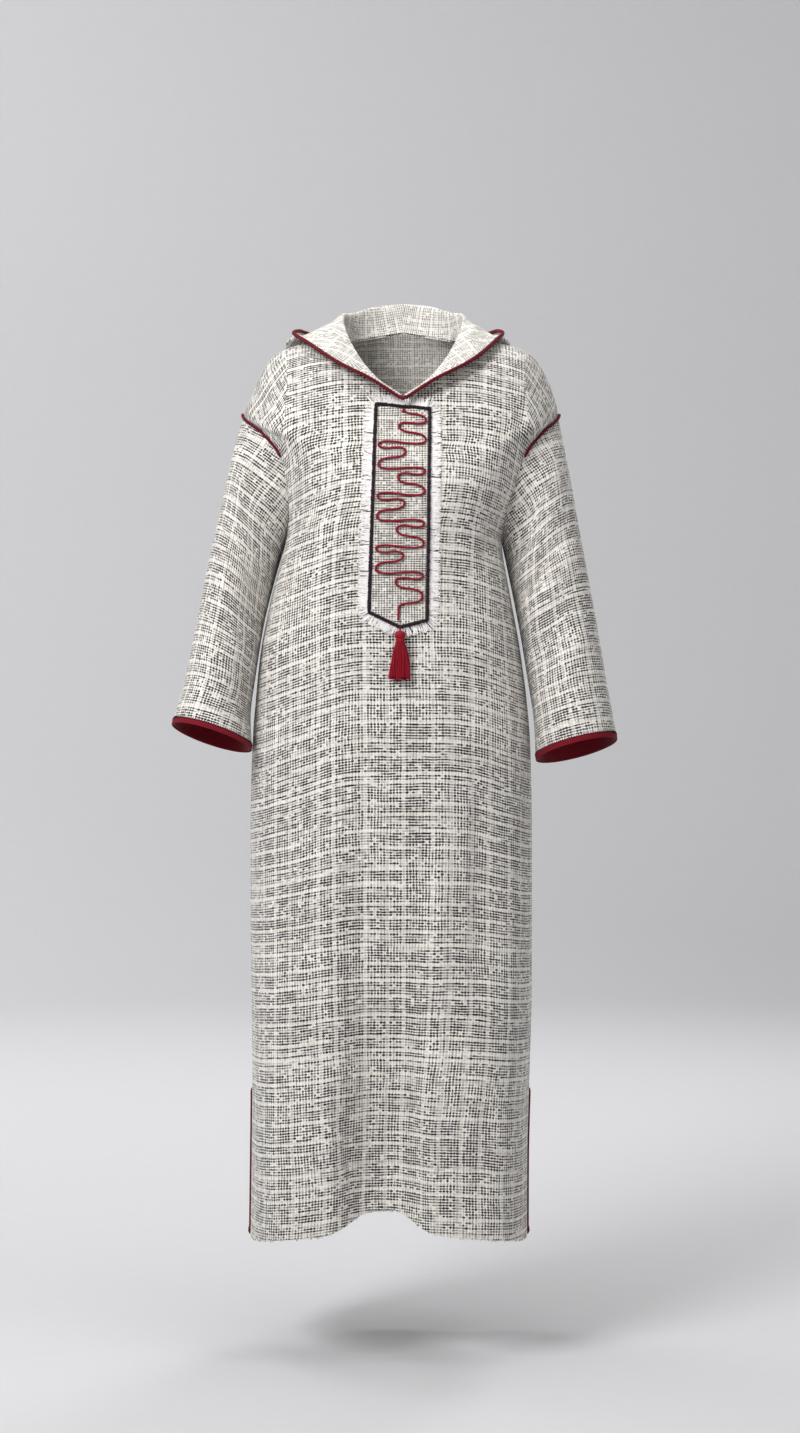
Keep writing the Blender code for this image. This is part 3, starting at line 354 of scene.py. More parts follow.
class ROBE_PG_stage(bpy.types.PropertyGroup):
    """Floor, backdrop and lights."""

    backdrop: colour_setting("Backdrop", paint(206, 206, 208), "The plain sweep behind")
    key_power: power_setting("Key power", 75.0, "Power of the large light at the left")
    fill_power: power_setting("Fill power", 4.0, "Power of the light at the right")
    wall_power: power_setting("Wall power", 190.0, "Light that falls on the wall behind the robe")
    sky: share_setting("Sky", 0.305, "Strength of the even light all round")


# Curves and surfaces


def smooth(x):
    """0 below 0, 1 above 1, and 3x^2 - 2x^3 between."""
    x = np.clip(x, 0, 1)
    return x * x * (3 - 2 * x)


def unit(vectors):
    """Each vector over its own length."""
    return vectors / np.maximum(np.linalg.norm(vectors, axis=-1, keepdims=True), 1e-12)


def dot(a, b):
    """The product of each pair of vectors, kept as a last axis of one."""
    return (a * b).sum(axis=-1, keepdims=True)


def square_to(vectors, axes):
    """Each vector turned square to its axis, of length 1."""
    return unit(vectors - axes * dot(vectors, axes))


def hermite(values, slope, at):
    """The cubic through values at 0, 1, 2 and so on with these slopes, read at each `at`."""
    at = np.clip(np.asarray(at, float), 0, len(values) - 1)
    i = np.minimum(at.astype(int), len(values) - 2)
    t = (at - i).reshape(at.shape + (1,) * (values.ndim - 1))
    return (
        values[i] * (1 + 2 * t) * (1 - t) ** 2
        + slope[i] * t * (1 - t) ** 2
        + values[i + 1] * t * t * (3 - 2 * t)
        + slope[i + 1] * t * t * (t - 1)
    )


def monotone(values, at):
    """A cubic through the values whose slopes are harmonic means, so it never overshoots."""
    values = np.asarray(values, float)
    step = np.diff(values)
    slope = np.zeros(len(values))
    slope[0], slope[-1] = step[0], step[-1]
    same = step[:-1] * step[1:] > 0
    both = np.where(same, step[:-1] + step[1:], 1)
    slope[1:-1] = np.where(same, 2 * step[:-1] * step[1:] / both, 0)
    return hermite(values, slope, at)


def through(knots, at):
    """A cubic through the knots whose slopes are half the difference of their neighbours."""
    knots = np.asarray(knots, float)
    return hermite(knots, np.gradient(knots, axis=0), at)


def lengths_along(path, axis=0):
    """Distance gone along a path of points, 0 at its start."""
    step = np.linalg.norm(np.diff(path, axis=axis), axis=-1)
    gone = np.cumsum(step, axis=axis)
    return np.concatenate([np.zeros_like(np.take(gone, [0], axis=axis)), gone], axis=axis)


def closed(values, axis=0):
    """The values with the first one once more at the end."""
    return np.concatenate([values, np.take(values, [0], axis=axis)], axis=axis)


def read_columns(at, known, values):
    """Values with one row for each known place, read between the rows at each `at`."""
    return np.stack([np.interp(at, known, column) for column in values.T], axis=-1)


def evenly(path, spacing):
    """Points on the same line, an even spacing apart."""
    gone = lengths_along(path)
    at = np.linspace(0, gone[-1], max(2, round(gone[-1] / spacing)) + 1)
    return read_columns(at, gone, path)


def evenly_guided(path, guide, spacing):
    """The same, with guides carried along, so short that they hardly count in the length."""
    both = evenly(np.concatenate([path, guide * 0.01], axis=1), spacing)
    return both[:, :3], unit(both[:, 3:])


def fold_push(folds, degrees, level):
    """How far the hanging folds move the cloth out and up: each is depth times
    exp(-(|angle - its angle| / width)^square), growing from its top to where it is full."""
    push = np.zeros(np.shape(degrees))
    lift = np.zeros(np.shape(degrees))
    for row in folds:
        fold = dict(zip(FOLD_COLUMNS, row))
        down = smooth((fold["top"] - level) / (fold["top"] - fold["full"]))
        if fold["low"] is not None:
            down = down * smooth((level - fold["low"]) / (fold["full"] - fold["low"]))
        away = np.abs(degrees - fold["angle"] - fold["drift"] * down) / fold["width"]
        shape = np.exp(-(away ** fold["square"]))
        push = push + fold["depth"] * down * shape
        lift = lift + fold["lift"] * down**2 * shape
    return push, lift


def body(t, u, back):
    """The body at row t and across u. Each row is half an ellipse between the side seams:
    x = lean + half_width sin(a)/sin(turn) and y = -depth cos(a), with a = u turn and turn the
    angle at which the ellipse meets the seam; folds move it out, rises lift its middle."""
    row = {name: monotone(column, t) for name, column in zip(BODY_COLUMNS, zip(*BODY))}
    side = 1 if back else -1
    share = np.clip((t - ARMPIT_ROW) / (TIP_ROW - ARMPIT_ROW), 0, 1)
    armhole = np.sin(np.pi * share) ** 0.6 * (ARMHOLE_BACK if back else ARMHOLE_FRONT)
    slit = SLIT_HALF_OPENING * smooth((SLIT_TOP_ROW - t) / 0.2)
    seam = armhole + slit + SEAM_GAP / 2
    depth = np.abs(row["back"] if back else row["front"])
    turn = np.arccos(seam / depth)
    angle = u * turn
    across = np.sin(angle) / np.sin(turn)
    rise = row["back_rise"] if back else row["front_rise"]
    steep = np.abs(across)
    up = rise * (1 - (row["vee"] * steep + (1 - row["vee"]) * steep**2))
    folds = BACK_FOLDS if back else FRONT_FOLDS
    push, lift = fold_push(folds, np.degrees(angle), row["level"])
    keep = 1 - np.abs(u) ** 6
    out = row["corner"] * np.sin(np.pi * np.abs(u)) ** 2 + push * keep
    x = row["lean"] + row["half_width"] * across + out * np.sin(angle)
    y = side * (depth + out) * np.cos(angle)
    return np.stack([x, y, row["level"] + up + lift * keep], axis=-1)


def body_normal(t, u, back):
    """The outward normal, from the surface a little to each side."""
    h = 1e-4
    low_t, high_t = np.clip(t - h, 0, NECK_ROW), np.clip(t + h, 0, NECK_ROW)
    low_u, high_u = np.clip(u - h, -1, 1), np.clip(u + h, -1, 1)
    along = body(high_t, u, back) - body(low_t, u, back)
    across = body(t, high_u, back) - body(t, low_u, back)
    normal = unit(np.cross(along, across))
    return normal if back else -normal


def crease_push(creases, x, z):
    """Creases as depth exp(-(distance to the line / width)^2), fading to nothing at both ends."""
    push = np.zeros(np.shape(x))
    for x0, z0, x1, z1, width, depth in creases:
        run = np.array([x1 - x0, z1 - z0])
        along = ((x - x0) * run[0] + (z - z0) * run[1]) / (run @ run)
        away = ((x - x0) * run[1] - (z - z0) * run[0]) / math.sqrt(run @ run)
        ends = smooth((along + 0.15) / 0.45) * smooth((1.15 - along) / 0.45)
        spread = width * (1 + 0.35 * along)
        push = push + depth * ends * np.exp(-((away / spread) ** 2))
    return push


def cloth_relief(points, seed):
    """A faint unevenness of the hanging cloth: the sum of nine slow waves of 0.09 mm."""
    random = np.random.default_rng(seed)
    relief = np.zeros(points.shape[:-1])
    for _ in range(9):
        direction = unit(random.normal(size=3) * [1.5, 1.0, 0.45])
        relief += np.sin(points @ direction * random.uniform(25, 90) + random.uniform(0, 6.3))
    return relief * 0.00009


def pressed_body(t, u, back):
    """The body with its listed creases, which fade out before the side seams."""
    points, normals = body(t, u, back), body_normal(t, u, back)
    creases = BACK_CREASES if back else FRONT_CREASES
    push = crease_push(creases, points[..., 0], points[..., 2])
    push += cloth_relief(points, 3 if back else 2)
    return points + normals * (push * (1 - np.abs(u) ** 8))[..., None]


def square_to_edge(normals, points):
    """Normals along an edge, turned square to the edge line."""
    return square_to(normals, unit(np.gradient(points, axis=0)))


def body_panel(back):
    """Points and normals of a panel on a grid of 188 rows and 150 columns."""
    rows = np.concatenate(
        [np.linspace(0, TIP_ROW, 142), np.linspace(TIP_ROW, NECK_ROW, 47)[1:]]
    )
    t, u = np.meshgrid(rows, np.linspace(-1, 1, 150), indexing="ij")
    points = pressed_body(t, u, back)
    across, along = np.gradient(points, axis=1), np.gradient(points, axis=0)
    normals = unit(np.cross(along, across)) * (1 if back else -1)
    seam = (rows <= ARMPIT_ROW) | (rows >= TIP_ROW)
    for column in (0, -1):
        normals[seam, column, 1] = 0
    return points, unit(normals)


def thread_place(points, droop):
    """Where the yarns run, in metres, for a body panel: up is z plus the rounding of the shoulder
    plus the droop of the wefts, the sum of their slope from the middle outwards, which grows over
    40 to 130 mm and is steeper in the crease at the armpit; across follows the wefts. On the
    caps of the shoulders, outside a crease, the cloth lies slanted and has places of its own."""
    z, x, y = points[..., 2], points[..., 0], points[..., 1]
    high = smooth((z + 0.16) / 0.14)
    lean = np.clip(np.abs(y) / SHOULDER_RADIUS, 0, 1)
    over = z + high * SHOULDER_RADIUS * (np.arccos(lean) - np.sqrt(1 - lean**2))
    away = np.abs(x - WEFT_MIDDLE)
    share = np.interp(z, *zip(*DROOP_SHARES))
    pit = np.exp(-(((z + 0.18) / 0.045) ** 2)) * smooth((away - 0.125) / 0.04)
    slope = droop / 0.075 * (share * smooth((away - 0.04) / 0.09) + 1.4 * pit)
    middle = x.shape[1] // 2
    mid = (slope[:, 1:] + slope[:, :-1]) / 2
    run = np.sign(np.arange(x.shape[1] - 1) - middle + 0.5)

    def summed(step):
        total = np.concatenate([np.zeros((len(x), 1)), np.cumsum(step, axis=1)], axis=1)
        return total - total[:, middle : middle + 1]

    fall = summed(mid * run * np.diff(x, axis=1))
    keep = 1 - (high[:, 1:] + high[:, :-1]) / 2
    flat = np.diff(x, axis=1) ** 2
    across = summed(np.sqrt((1 + mid**2) * flat + (keep * np.diff(y, axis=1)) ** 2))
    plain = np.stack([across, over + fall], axis=-1)
    out = summed(np.sqrt(flat + np.diff(y, axis=1) ** 2 + np.diff(z, axis=1) ** 2))
    side = np.where(out < 0, -1, 1)
    capped = np.stack([0.84 * out - 0.54 * side * over, 0.50 * over + 0.87 * np.abs(out)], axis=-1)
    cap = (away > np.interp(z, CAP_LEVELS, CAP_EDGES)) & (z > CAP_LEVELS[0])
    return plain, capped, cap[1:, 1:] & cap[:-1, :-1]


def seam_start(edge, tangent, body_normals, towards, thickness):
    """Where a cloth sewn to an edge starts, clear of it by the gap, and its normals there."""
    off = unit(np.cross(tangent, body_normals))
    flat = square_to(towards, tangent)
    cosine, up = dot(flat, off), dot(flat, body_normals)
    side = np.where(up < 0, -1.0, 1.0)
    sine = np.sqrt(np.clip(1 - cosine**2, 0, 1))
    start = (
        edge
        + off * (SEAM_GAP + thickness / 2 * sine)
        + body_normals * side * (thickness + SEAM_GAP) * (1 - cosine) / 2
    )
    return start, unit(body_normals * cosine - off * up)


def armhole_loop(side, steps):
    """The armhole from the armpit up the front to the tip and down the back."""
    t = ARMPIT_ROW + (TIP_ROW - ARMPIT_ROW) * np.arange(steps + 1) / steps
    u = np.full(len(t), float(side))
    points, normals = [], []
    for back, order in ((False, slice(0, None)), (True, slice(-2, 0, -1))):
        edge = body(t, u, back)
        normal = square_to_edge(body_normal(t, u, back), edge)
        points.append(edge[order])
        normals.append(normal[order])
    points, normals = np.concatenate(points), np.concatenate(normals)
    for i in (0, steps):
        points[i, 1] = 0
        normals[i, 1] = 0
    return points, unit(normals)


def sleeve_knots(side, steps, thickness):
    """The sleeve's rings: ring 0 is the armhole, each further one the ellipse
    (outer + inner)/2 + cos(a) (inner - outer)/2 + sin(a) front."""
    loop, normals = armhole_loop(side, steps)
    angle = 2 * np.pi * np.arange(len(loop)) / len(loop)
    rings = []
    table = SLEEVE_LEFT if side < 0 else SLEEVE_RIGHT
    for number, row in enumerate(table):
        ring = dict(zip(SLEEVE_COLUMNS, row))
        outer = np.array([ring["outer_x"], -ring["forward"], ring["outer_z"]])
        inner = np.array([ring["inner_x"], -ring["forward"], ring["inner_z"]])
        tilt = CUFF_TILT * number / (len(table) - 1)
        front = np.array([0, -math.cos(tilt), math.sin(tilt)]) * ring["half_depth"]
        rings.append(
            (outer + inner) / 2
            + np.cos(angle)[:, None] * (inner - outer) / 2
            + np.sin(angle)[:, None] * front
        )
    tangent = unit(np.roll(loop, -1, axis=0) - np.roll(loop, 1, axis=0))
    if (np.cross(tangent, normals) * (loop.mean(axis=0) - loop)).sum() < 0:
        tangent = -tangent
    start, first = seam_start(loop, tangent, normals, rings[0] - loop, thickness)
    return np.stack([start] + rings), first


def sleeve_surface(side, thickness, rows=118, steps=72):
    """Points and normals of a sleeve, rows along it by points round it: a cubic through the
    rings with creases pressed in, depth exp(-(along/reach)^2 - (turn/width)^2)."""
    knots, first = sleeve_knots(side, steps, thickness)
    at = np.linspace(0, len(knots) - 1, rows)
    points = through(knots, at)
    normals = surface_normals(points)
    if (first * normals[0]).sum() < 0:
        first = -first
    degrees = 360 * np.arange(points.shape[1]) / points.shape[1]
    push = np.zeros(points.shape[:2])
    creases = LEFT_CREASES if side < 0 else RIGHT_CREASES
    for ring, angle, reach, width, depth, slant in creases:
        turn = (degrees - angle + 180) % 360 - 180
        along = (at[:, None] - ring - slant / 100 * turn[None] / width) / reach
        push += depth * np.exp(-(along**2) - ((turn / width) ** 2)[None])
    push += cloth_relief(points, 4 + side)
    push *= (smooth(at) * smooth((len(knots) - 1 - at) / 0.5))[:, None]
    points = points + normals * push[..., None]
    normals = surface_normals(points)
    normals[0] = first
    return points, normals


def surface_normals(points):
    """Outward normals of a ring surface, from its neighbours along and around."""
    along = np.gradient(points, axis=0)
    around = np.roll(points, -1, axis=1) - np.roll(points, 1, axis=1)
    normals = unit(np.cross(along, around))
    centre = points.mean(axis=1, keepdims=True)
    return -normals if ((points - centre) * normals).sum() < 0 else normals


def neckline(side, half):
    """The neck's edge from the front to the back of one side, with its normals."""
    u = side * np.arange(half + 1) / half
    t = np.full(half + 1, float(NECK_ROW))
    front, back = body(t, u, False), body(t, u[::-1], True)
    front_n, back_n = body_normal(t, u, False), body_normal(t, u[::-1], True)
    for normal in (front_n[-1], back_n[0]):
        normal[1] = 0
    points = np.concatenate([front[:-1], back])
    normals = np.concatenate([front_n[:-1], back_n])
    points[half, 1] = 0
    angles = np.concatenate([90 * np.abs(u[:-1]), 180 - 90 * np.abs(u[::-1])])
    return points, square_to_edge(unit(normals), points), angles


def hood_surface(side, thickness, half=66, rows=58):
    """Points and normals of one half of the hood, from its seam to its rim: a cubic from the
    neckline through the rolled, low, outer and rim stations at each angle round the neck."""
    edge, body_normals, angles = neckline(side, half)
    table = np.array(HOOD)
    place = np.interp(angles, table[:, 0], np.arange(len(table)))
    stations = np.stack([monotone(table[:, c], place) for c in range(1, 13)], axis=1)
    stations = stations.reshape(-1, 4, 3)
    stations[..., 0] = side * stations[..., 0]
    fade = (smooth((angles - 50) / 40) * smooth((180 - angles) / 30))[:, None]
    stations[..., 0] += HOOD_LEAN * fade * np.array([0.0, 0.5, 1.0, 1.0])
    tangent = unit(np.gradient(edge, axis=0))
    if np.cross(tangent, body_normals)[len(edge) // 2, 2] < 0:
        tangent = -tangent
    start, first = seam_start(edge, tangent, body_normals, stations[:, 0] - edge, thickness)
    start[0] += tangent[0] * (side * 0.0012 - start[0, 0]) / tangent[0, 0]
    knots = np.concatenate([start[None], stations.transpose(1, 0, 2)])
    knots[:, -1, 0] = side * SEAM_GAP / 2
    at = np.linspace(0, 4, rows)
    points = through(knots, at)
    along, around = np.gradient(points, axis=0), np.gradient(points, axis=1)
    normals = unit(np.cross(along, around))
    if (normals[0] * first).sum() < 0:
        normals = -normals
    push = np.zeros(points.shape[:2])
    for angle, step, width, reach, depth in HOOD_DENTS:
        angle = angle + 3 * side
        away = ((angles - angle) / width)[None] ** 2 + ((at - step) / reach)[:, None] ** 2
        push += depth * np.exp(-away)
    push *= smooth(at)[:, None] * smooth((4 - at) / 0.6)[:, None] * smooth((180 - angles) / 12)
    points = points + normals * push[..., None]
    normals[0] = first
    normals[:, -1, 0] = 0
    return points, unit(normals)


GRID_PAIRS = (
    (np.s_[:, :-1], np.s_[:, 1:]),
    (np.s_[:-1], np.s_[1:]),
    (np.s_[:-1, :-1], np.s_[1:, 1:]),
    (np.s_[:-1, 1:], np.s_[1:, :-1]),
)


def laid_flat(points, places):
    """Places of the cloth as if laid flat, its last row along the first axis. In each round the
    ends of every edge and diagonal move towards the length that it has on the cloth, first on a
    coarse grid, whose moves the finer one takes over."""
    for parts, rounds in ((12, 500), (26, 400), (80, 150)):
        picks = [np.linspace(0, n - 1, min(parts, n)).round().astype(int) for n in points.shape[:2]]
        grid = np.ix_(*picks)
        cloth, flat = points[grid], places[grid]
        for _ in range(rounds):
            move, count = np.zeros_like(flat), np.zeros((*flat.shape[:2], 1))
            for here, there in GRID_PAIRS:
                gap = flat[there] - flat[here]
                want = np.linalg.norm(cloth[there] - cloth[here], axis=-1, keepdims=True)
                now = np.linalg.norm(gap, axis=-1, keepdims=True)
                pull = 0.5 * gap * (1 - want / now)
                move[here] += pull
                move[there] -= pull
                count[here] += 1
                count[there] += 1
            flat = flat + 1.4 * move / count
        change = flat - places[grid]
        rows, columns = (np.arange(n) for n in points.shape[:2])
        wide = np.stack([read_columns(columns, picks[1], line) for line in change])
        places = places + np.stack(
            [read_columns(rows, picks[0], wide[:, c]) for c in columns], axis=1
        )
    along = unit(places[-1, -1] - places[-1, 0])
    turned = np.stack([places @ along, places @ np.array([-along[1], along[0]])], axis=-1)
    return turned - turned[-1, 0]


def over_front(x, z, lift):
    """Points over the front at (x, z), lifted off its mid surface, and the normals there. The
    row and the place across are found by Newton's steps on the pressed body."""
    x, z = np.broadcast_arrays(np.asarray(x, float), np.asarray(z, float))
    shape = x.shape
    x, z = x.reshape(-1), z.reshape(-1)
    rows = np.linspace(0, NECK_ROW, 400)
    heights = body(rows, np.zeros(400), False)[:, 2]
    t = np.interp(z, heights, rows)
    u = x / 0.25
    h = 1e-3
    for _ in range(24):
        here = pressed_body(t, u, False)
        up = (pressed_body(t + h, u, False) - here) / h
        over = (pressed_body(t, u + h, False) - here) / h
        det = up[:, 0] * over[:, 2] - over[:, 0] * up[:, 2]
        miss_x, miss_z = x - here[:, 0], z - here[:, 2]
        dt = (miss_x * over[:, 2] - over[:, 0] * miss_z) / det
        du = (up[:, 0] * miss_z - miss_x * up[:, 2]) / det
        t = np.clip(t + np.clip(0.8 * dt, -1, 1), 0, NECK_ROW - h)
        u = np.clip(u + np.clip(0.8 * du, -0.1, 0.1), -0.99, 0.99)
    point, normal = pressed_body(t, u, False), body_normal(t, u, False)
    lift = np.broadcast_to(lift, shape).reshape(-1, 1)
    return (point + normal * lift).reshape(shape + (3,)), normal.reshape(shape + (3,))


# Meshes


def net(rows, columns, ring=False):
    """Quads of a grid, as corner numbers in its points and in its UVs, which have one column
    more where the columns close on themselves."""
    across = columns if ring else columns - 1
    wide = columns + 1 if ring else columns
    r, c = np.meshgrid(np.arange(rows - 1), np.arange(across), indexing="ij")
    r = np.stack([r, r, r + 1, r + 1], axis=-1).reshape(-1, 4)
    c = np.stack([c, c + 1, c + 1, c], axis=-1).reshape(-1, 4)
    return r * columns + c % columns, r * wide + c


def build(name, points, faces, places, place_faces, materials, finish=None):
    """A mesh object from whole arrays: points, quads, the yarn places of its corners and, for
    each quad, which of the materials it has. Its faces are turned to point outwards."""
    points, faces = np.asarray(points, float), np.asarray(faces, int)
    corners = points[faces]
    first = np.einsum("ij,ij->", corners[:, 0], np.cross(corners[:, 1], corners[:, 2]))
    second = np.einsum("ij,ij->", corners[:, 0], np.cross(corners[:, 2], corners[:, 3]))
    if first + second < 0:
        faces, place_faces = faces[:, ::-1], place_faces[:, ::-1]
    mesh = bpy.data.meshes.new(name)
    mesh.vertices.add(len(points))
    mesh.vertices.foreach_set("co", points.astype(np.float32).reshape(-1))
    mesh.loops.add(faces.size)
    mesh.loops.foreach_set("vertex_index", faces.astype(np.int32).reshape(-1))
    mesh.polygons.add(len(faces))
    mesh.polygons.foreach_set("loop_start", np.arange(0, faces.size, 4, dtype=np.int32))
    mesh.polygons.foreach_set("use_smooth", np.full(len(faces), True))
    for material in materials:
        mesh.materials.append(material)
    if finish is not None:
        mesh.polygons.foreach_set("material_index", np.asarray(finish, np.int32))
    layer = mesh.uv_layers.new(name="thread")
    layer.data.foreach_set("uv", places[place_faces].astype(np.float32).reshape(-1))
    mesh.update(calc_edges=True)
    if mesh.validate():
        raise RuntimeError(f"{name}: the mesh had faults")
    mesh.set_sharp_from_angle(angle=math.radians(50))
    piece = bpy.data.objects.new(name, mesh)
    bpy.context.scene.collection.objects.link(piece)
    return piece


def cloth_shell(name, points, normals, thickness, places, materials, ring=False, patch=None):
    """Cloth as a closed shell: the surface half its thickness out and half in, with its edges
    turned over. The first material is on the outside, the last on the inside. A patch is other
    places and the quads that have them."""
    rows, columns = points.shape[:2]
    sides = [points + normals * thickness / 2, points - normals * thickness / 2]
    both = np.stack(sides).reshape(-1, 3)
    outer, outer_place = net(rows, columns, ring)
    inside = rows * columns
    places = places.reshape(-1, 2)
    if patch is not None:
        outer_place = outer_place + len(places) * patch[1].reshape(-1, 1)
        places = np.concatenate([places, patch[0].reshape(-1, 2)])
    faces, place_faces = [outer, outer[:, ::-1] + inside], [outer_place, outer_place[:, ::-1]]

    def edge(index, place):
        """The strip that joins outside and inside along a line of points."""
        faces.append(np.stack([index[1:], index[:-1], index[:-1] + inside, index[1:] + inside], 1))
        place_faces.append(np.stack([place[1:], place[:-1], place[:-1], place[1:]], axis=1))

    wide = columns + 1 if ring else columns
    index = np.arange(inside).reshape(rows, columns)
    if ring:
        index = closed(index, axis=1)
    place = np.arange(rows * wide).reshape(rows, wide)
    edge(index[0], place[0])
    edge(index[-1][::-1], place[-1][::-1])
    if not ring:
        edge(index[::-1, 0], place[::-1, 0])
        edge(index[:, -1], place[:, -1])
    finish = np.zeros(sum(map(len, faces)), int)
    finish[len(outer) : 2 * len(outer)] = len(materials) - 1
    faces, place_faces = np.concatenate(faces), np.concatenate(place_faces)
    return build(name, both, faces, places, place_faces, materials, finish)


def tubes(paths, guides, radii, sides, ring=False, lobes=0, lobe_depth=0.0, twist=1.0, grow=1.0):
    """Many cords of one length of path at once: paths (cords, steps, 3), and radii for each
    step. The outline is r (1 + d cos(lobes angle - 2 pi gone / twist)), so strands wind round;
    grow flattens it along the guides. Gives points, quads and the places of their corners."""
    if ring:
        tangent = unit(np.roll(paths, -1, axis=1) - np.roll(paths, 1, axis=1))
    else:
        tangent = unit(np.gradient(paths, axis=1))
    normal = square_to(guides, tangent)
    other = np.cross(tangent, normal)
    count, steps = paths.shape[:2]
    step = np.linalg.norm(np.diff(paths, axis=1, append=paths[:, :1]), axis=-1)
    gone = np.concatenate([np.zeros((count, 1)), np.cumsum(step, axis=1)], axis=1)
    angle = 2 * np.pi * np.arange(sides) / sides
    if ring:
        turns = np.maximum(1, np.round(gone[:, -1:] / twist))
        wind = 2 * np.pi * turns * gone[:, :steps] / gone[:, -1:]
    else:
        wind = 2 * np.pi * gone[:, :steps] / twist
    outline = 1 + lobe_depth * np.cos(lobes * angle[None, None] - wind[..., None])
    radii = np.broadcast_to(radii, (count, steps))[..., None] * outline
    around = (
        np.cos(angle)[:, None] * normal[:, :, None] * grow
        + np.sin(angle)[:, None] * other[:, :, None]
    )
    points = paths[:, :, None] + radii[..., None] * around
    rows = steps + 1 if ring else steps
    faces, place_faces = net(rows, sides, ring=True)
    faces = faces % (steps * sides)
    girth = 2 * np.pi * float(np.max(radii))
    u = np.broadcast_to(gone[:, :rows, None], (count, rows, sides + 1))
    v = np.broadcast_to(np.arange(sides + 1) / sides * girth, u.shape)
    # Each cord's own number goes into v, so that a yarn's colour can differ from the next
    v = v + np.arange(count)[:, None, None] * 0.05
    places = np.stack([u, v], axis=-1)
    if not ring:
        ends = np.arange(0, sides - 1, 2)
        last = (steps - 1) * sides
        fan = np.stack([0 * ends[1:], (ends[1:] + 1) % sides, ends[1:], ends[1:] - 1], axis=1)
        cap = np.concatenate([fan, fan[:, ::-1] + last])
        cap_place = np.concatenate([fan, fan[:, ::-1] + (steps - 1) * (sides + 1)])
        faces = np.concatenate([faces, cap])
        place_faces = np.concatenate([place_faces, cap_place])
    many = np.arange(count)[:, None, None]
    faces = (faces[None] + many * steps * sides).reshape(-1, 4)
    place_faces = (place_faces[None] + many * rows * (sides + 1)).reshape(-1, 4)
    return points.reshape(-1, 3), faces, places.reshape(-1, 2), place_faces


def joined(parts):
    """Several (points, quads, places, place quads) as one."""
    points, faces, places, place_faces = [], [], [], []
    at = place_at = 0
    for p, f, q, g in parts:
        points.append(p)
        faces.append(f + at)
        places.append(q)
        place_faces.append(g + place_at)
        at, place_at = at + len(p), place_at + len(q)
    return tuple(np.concatenate(x) for x in (points, faces, places, place_faces))


def settle(piece, nodes=()):
    """The piece rides on the robe's one body and stands for these nodes."""
    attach(piece, "root")
    if nodes:
        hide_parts(*nodes)


def sheet_facts(points, ring=False):
    """Width, length and area of a cloth laid flat, from its mid surface."""
    if ring:
        points = closed(points, axis=1)
    a = points[1:, 1:] - points[:-1, :-1]
    b = points[1:, :-1] - points[:-1, 1:]
    area = np.linalg.norm(np.cross(a, b), axis=-1).sum() / 2
    width = lengths_along(points, axis=1)[:, -1].max()
    length = lengths_along(points, axis=0)[-1].max()
    return width, length, area


def sewn_cloth(
    name, node, points, normals, thickness, places, materials,
    fullness=None, ring=False, patch=None,
):
    """A cut piece of cloth in the place of a node. Where the cut isn't a rectangle, fullness is
    its area's share of width times length."""
    piece = cloth_shell(name, points, normals, thickness, places, materials, ring, patch)
    settle(piece, [node])
    width, length, area = sheet_facts(points, ring)
    if fullness is not None:
        length = area / width / fullness


def cord(name, path, guide, radii, sides, yarn, slot, nodes, **strands):
    """One cord as a piece, in the place of its nodes."""
    made = tubes(path[None], guide[None], radii, sides, **strands)
    settle(build(name, *made, [yarn]), nodes)


def yarns(name, made, materials, dark, nodes=()):
    """Many short yarns as one piece, the dark ones in the second material."""
    finish = np.repeat(dark.astype(int), len(made[1]) // len(dark))
    settle(build(name, *made, materials, finish), nodes)


# Materials


class Signal:
    """A socket's value in a formula: each sign of arithmetic adds a Math node."""

    def __init__(self, wiring, socket):
        self.wiring = wiring
        self.socket = socket

    def __add__(self, other):
        return self.wiring.math("ADD", self, other)

    def __sub__(self, other):
        return self.wiring.math("SUBTRACT", self, other)

    def __rsub__(self, other):
        return self.wiring.math("SUBTRACT", other, self)

    def __mul__(self, other):
        return self.wiring.math("MULTIPLY", self, other)

    def __truediv__(self, other):
        return self.wiring.math("DIVIDE", self, other)


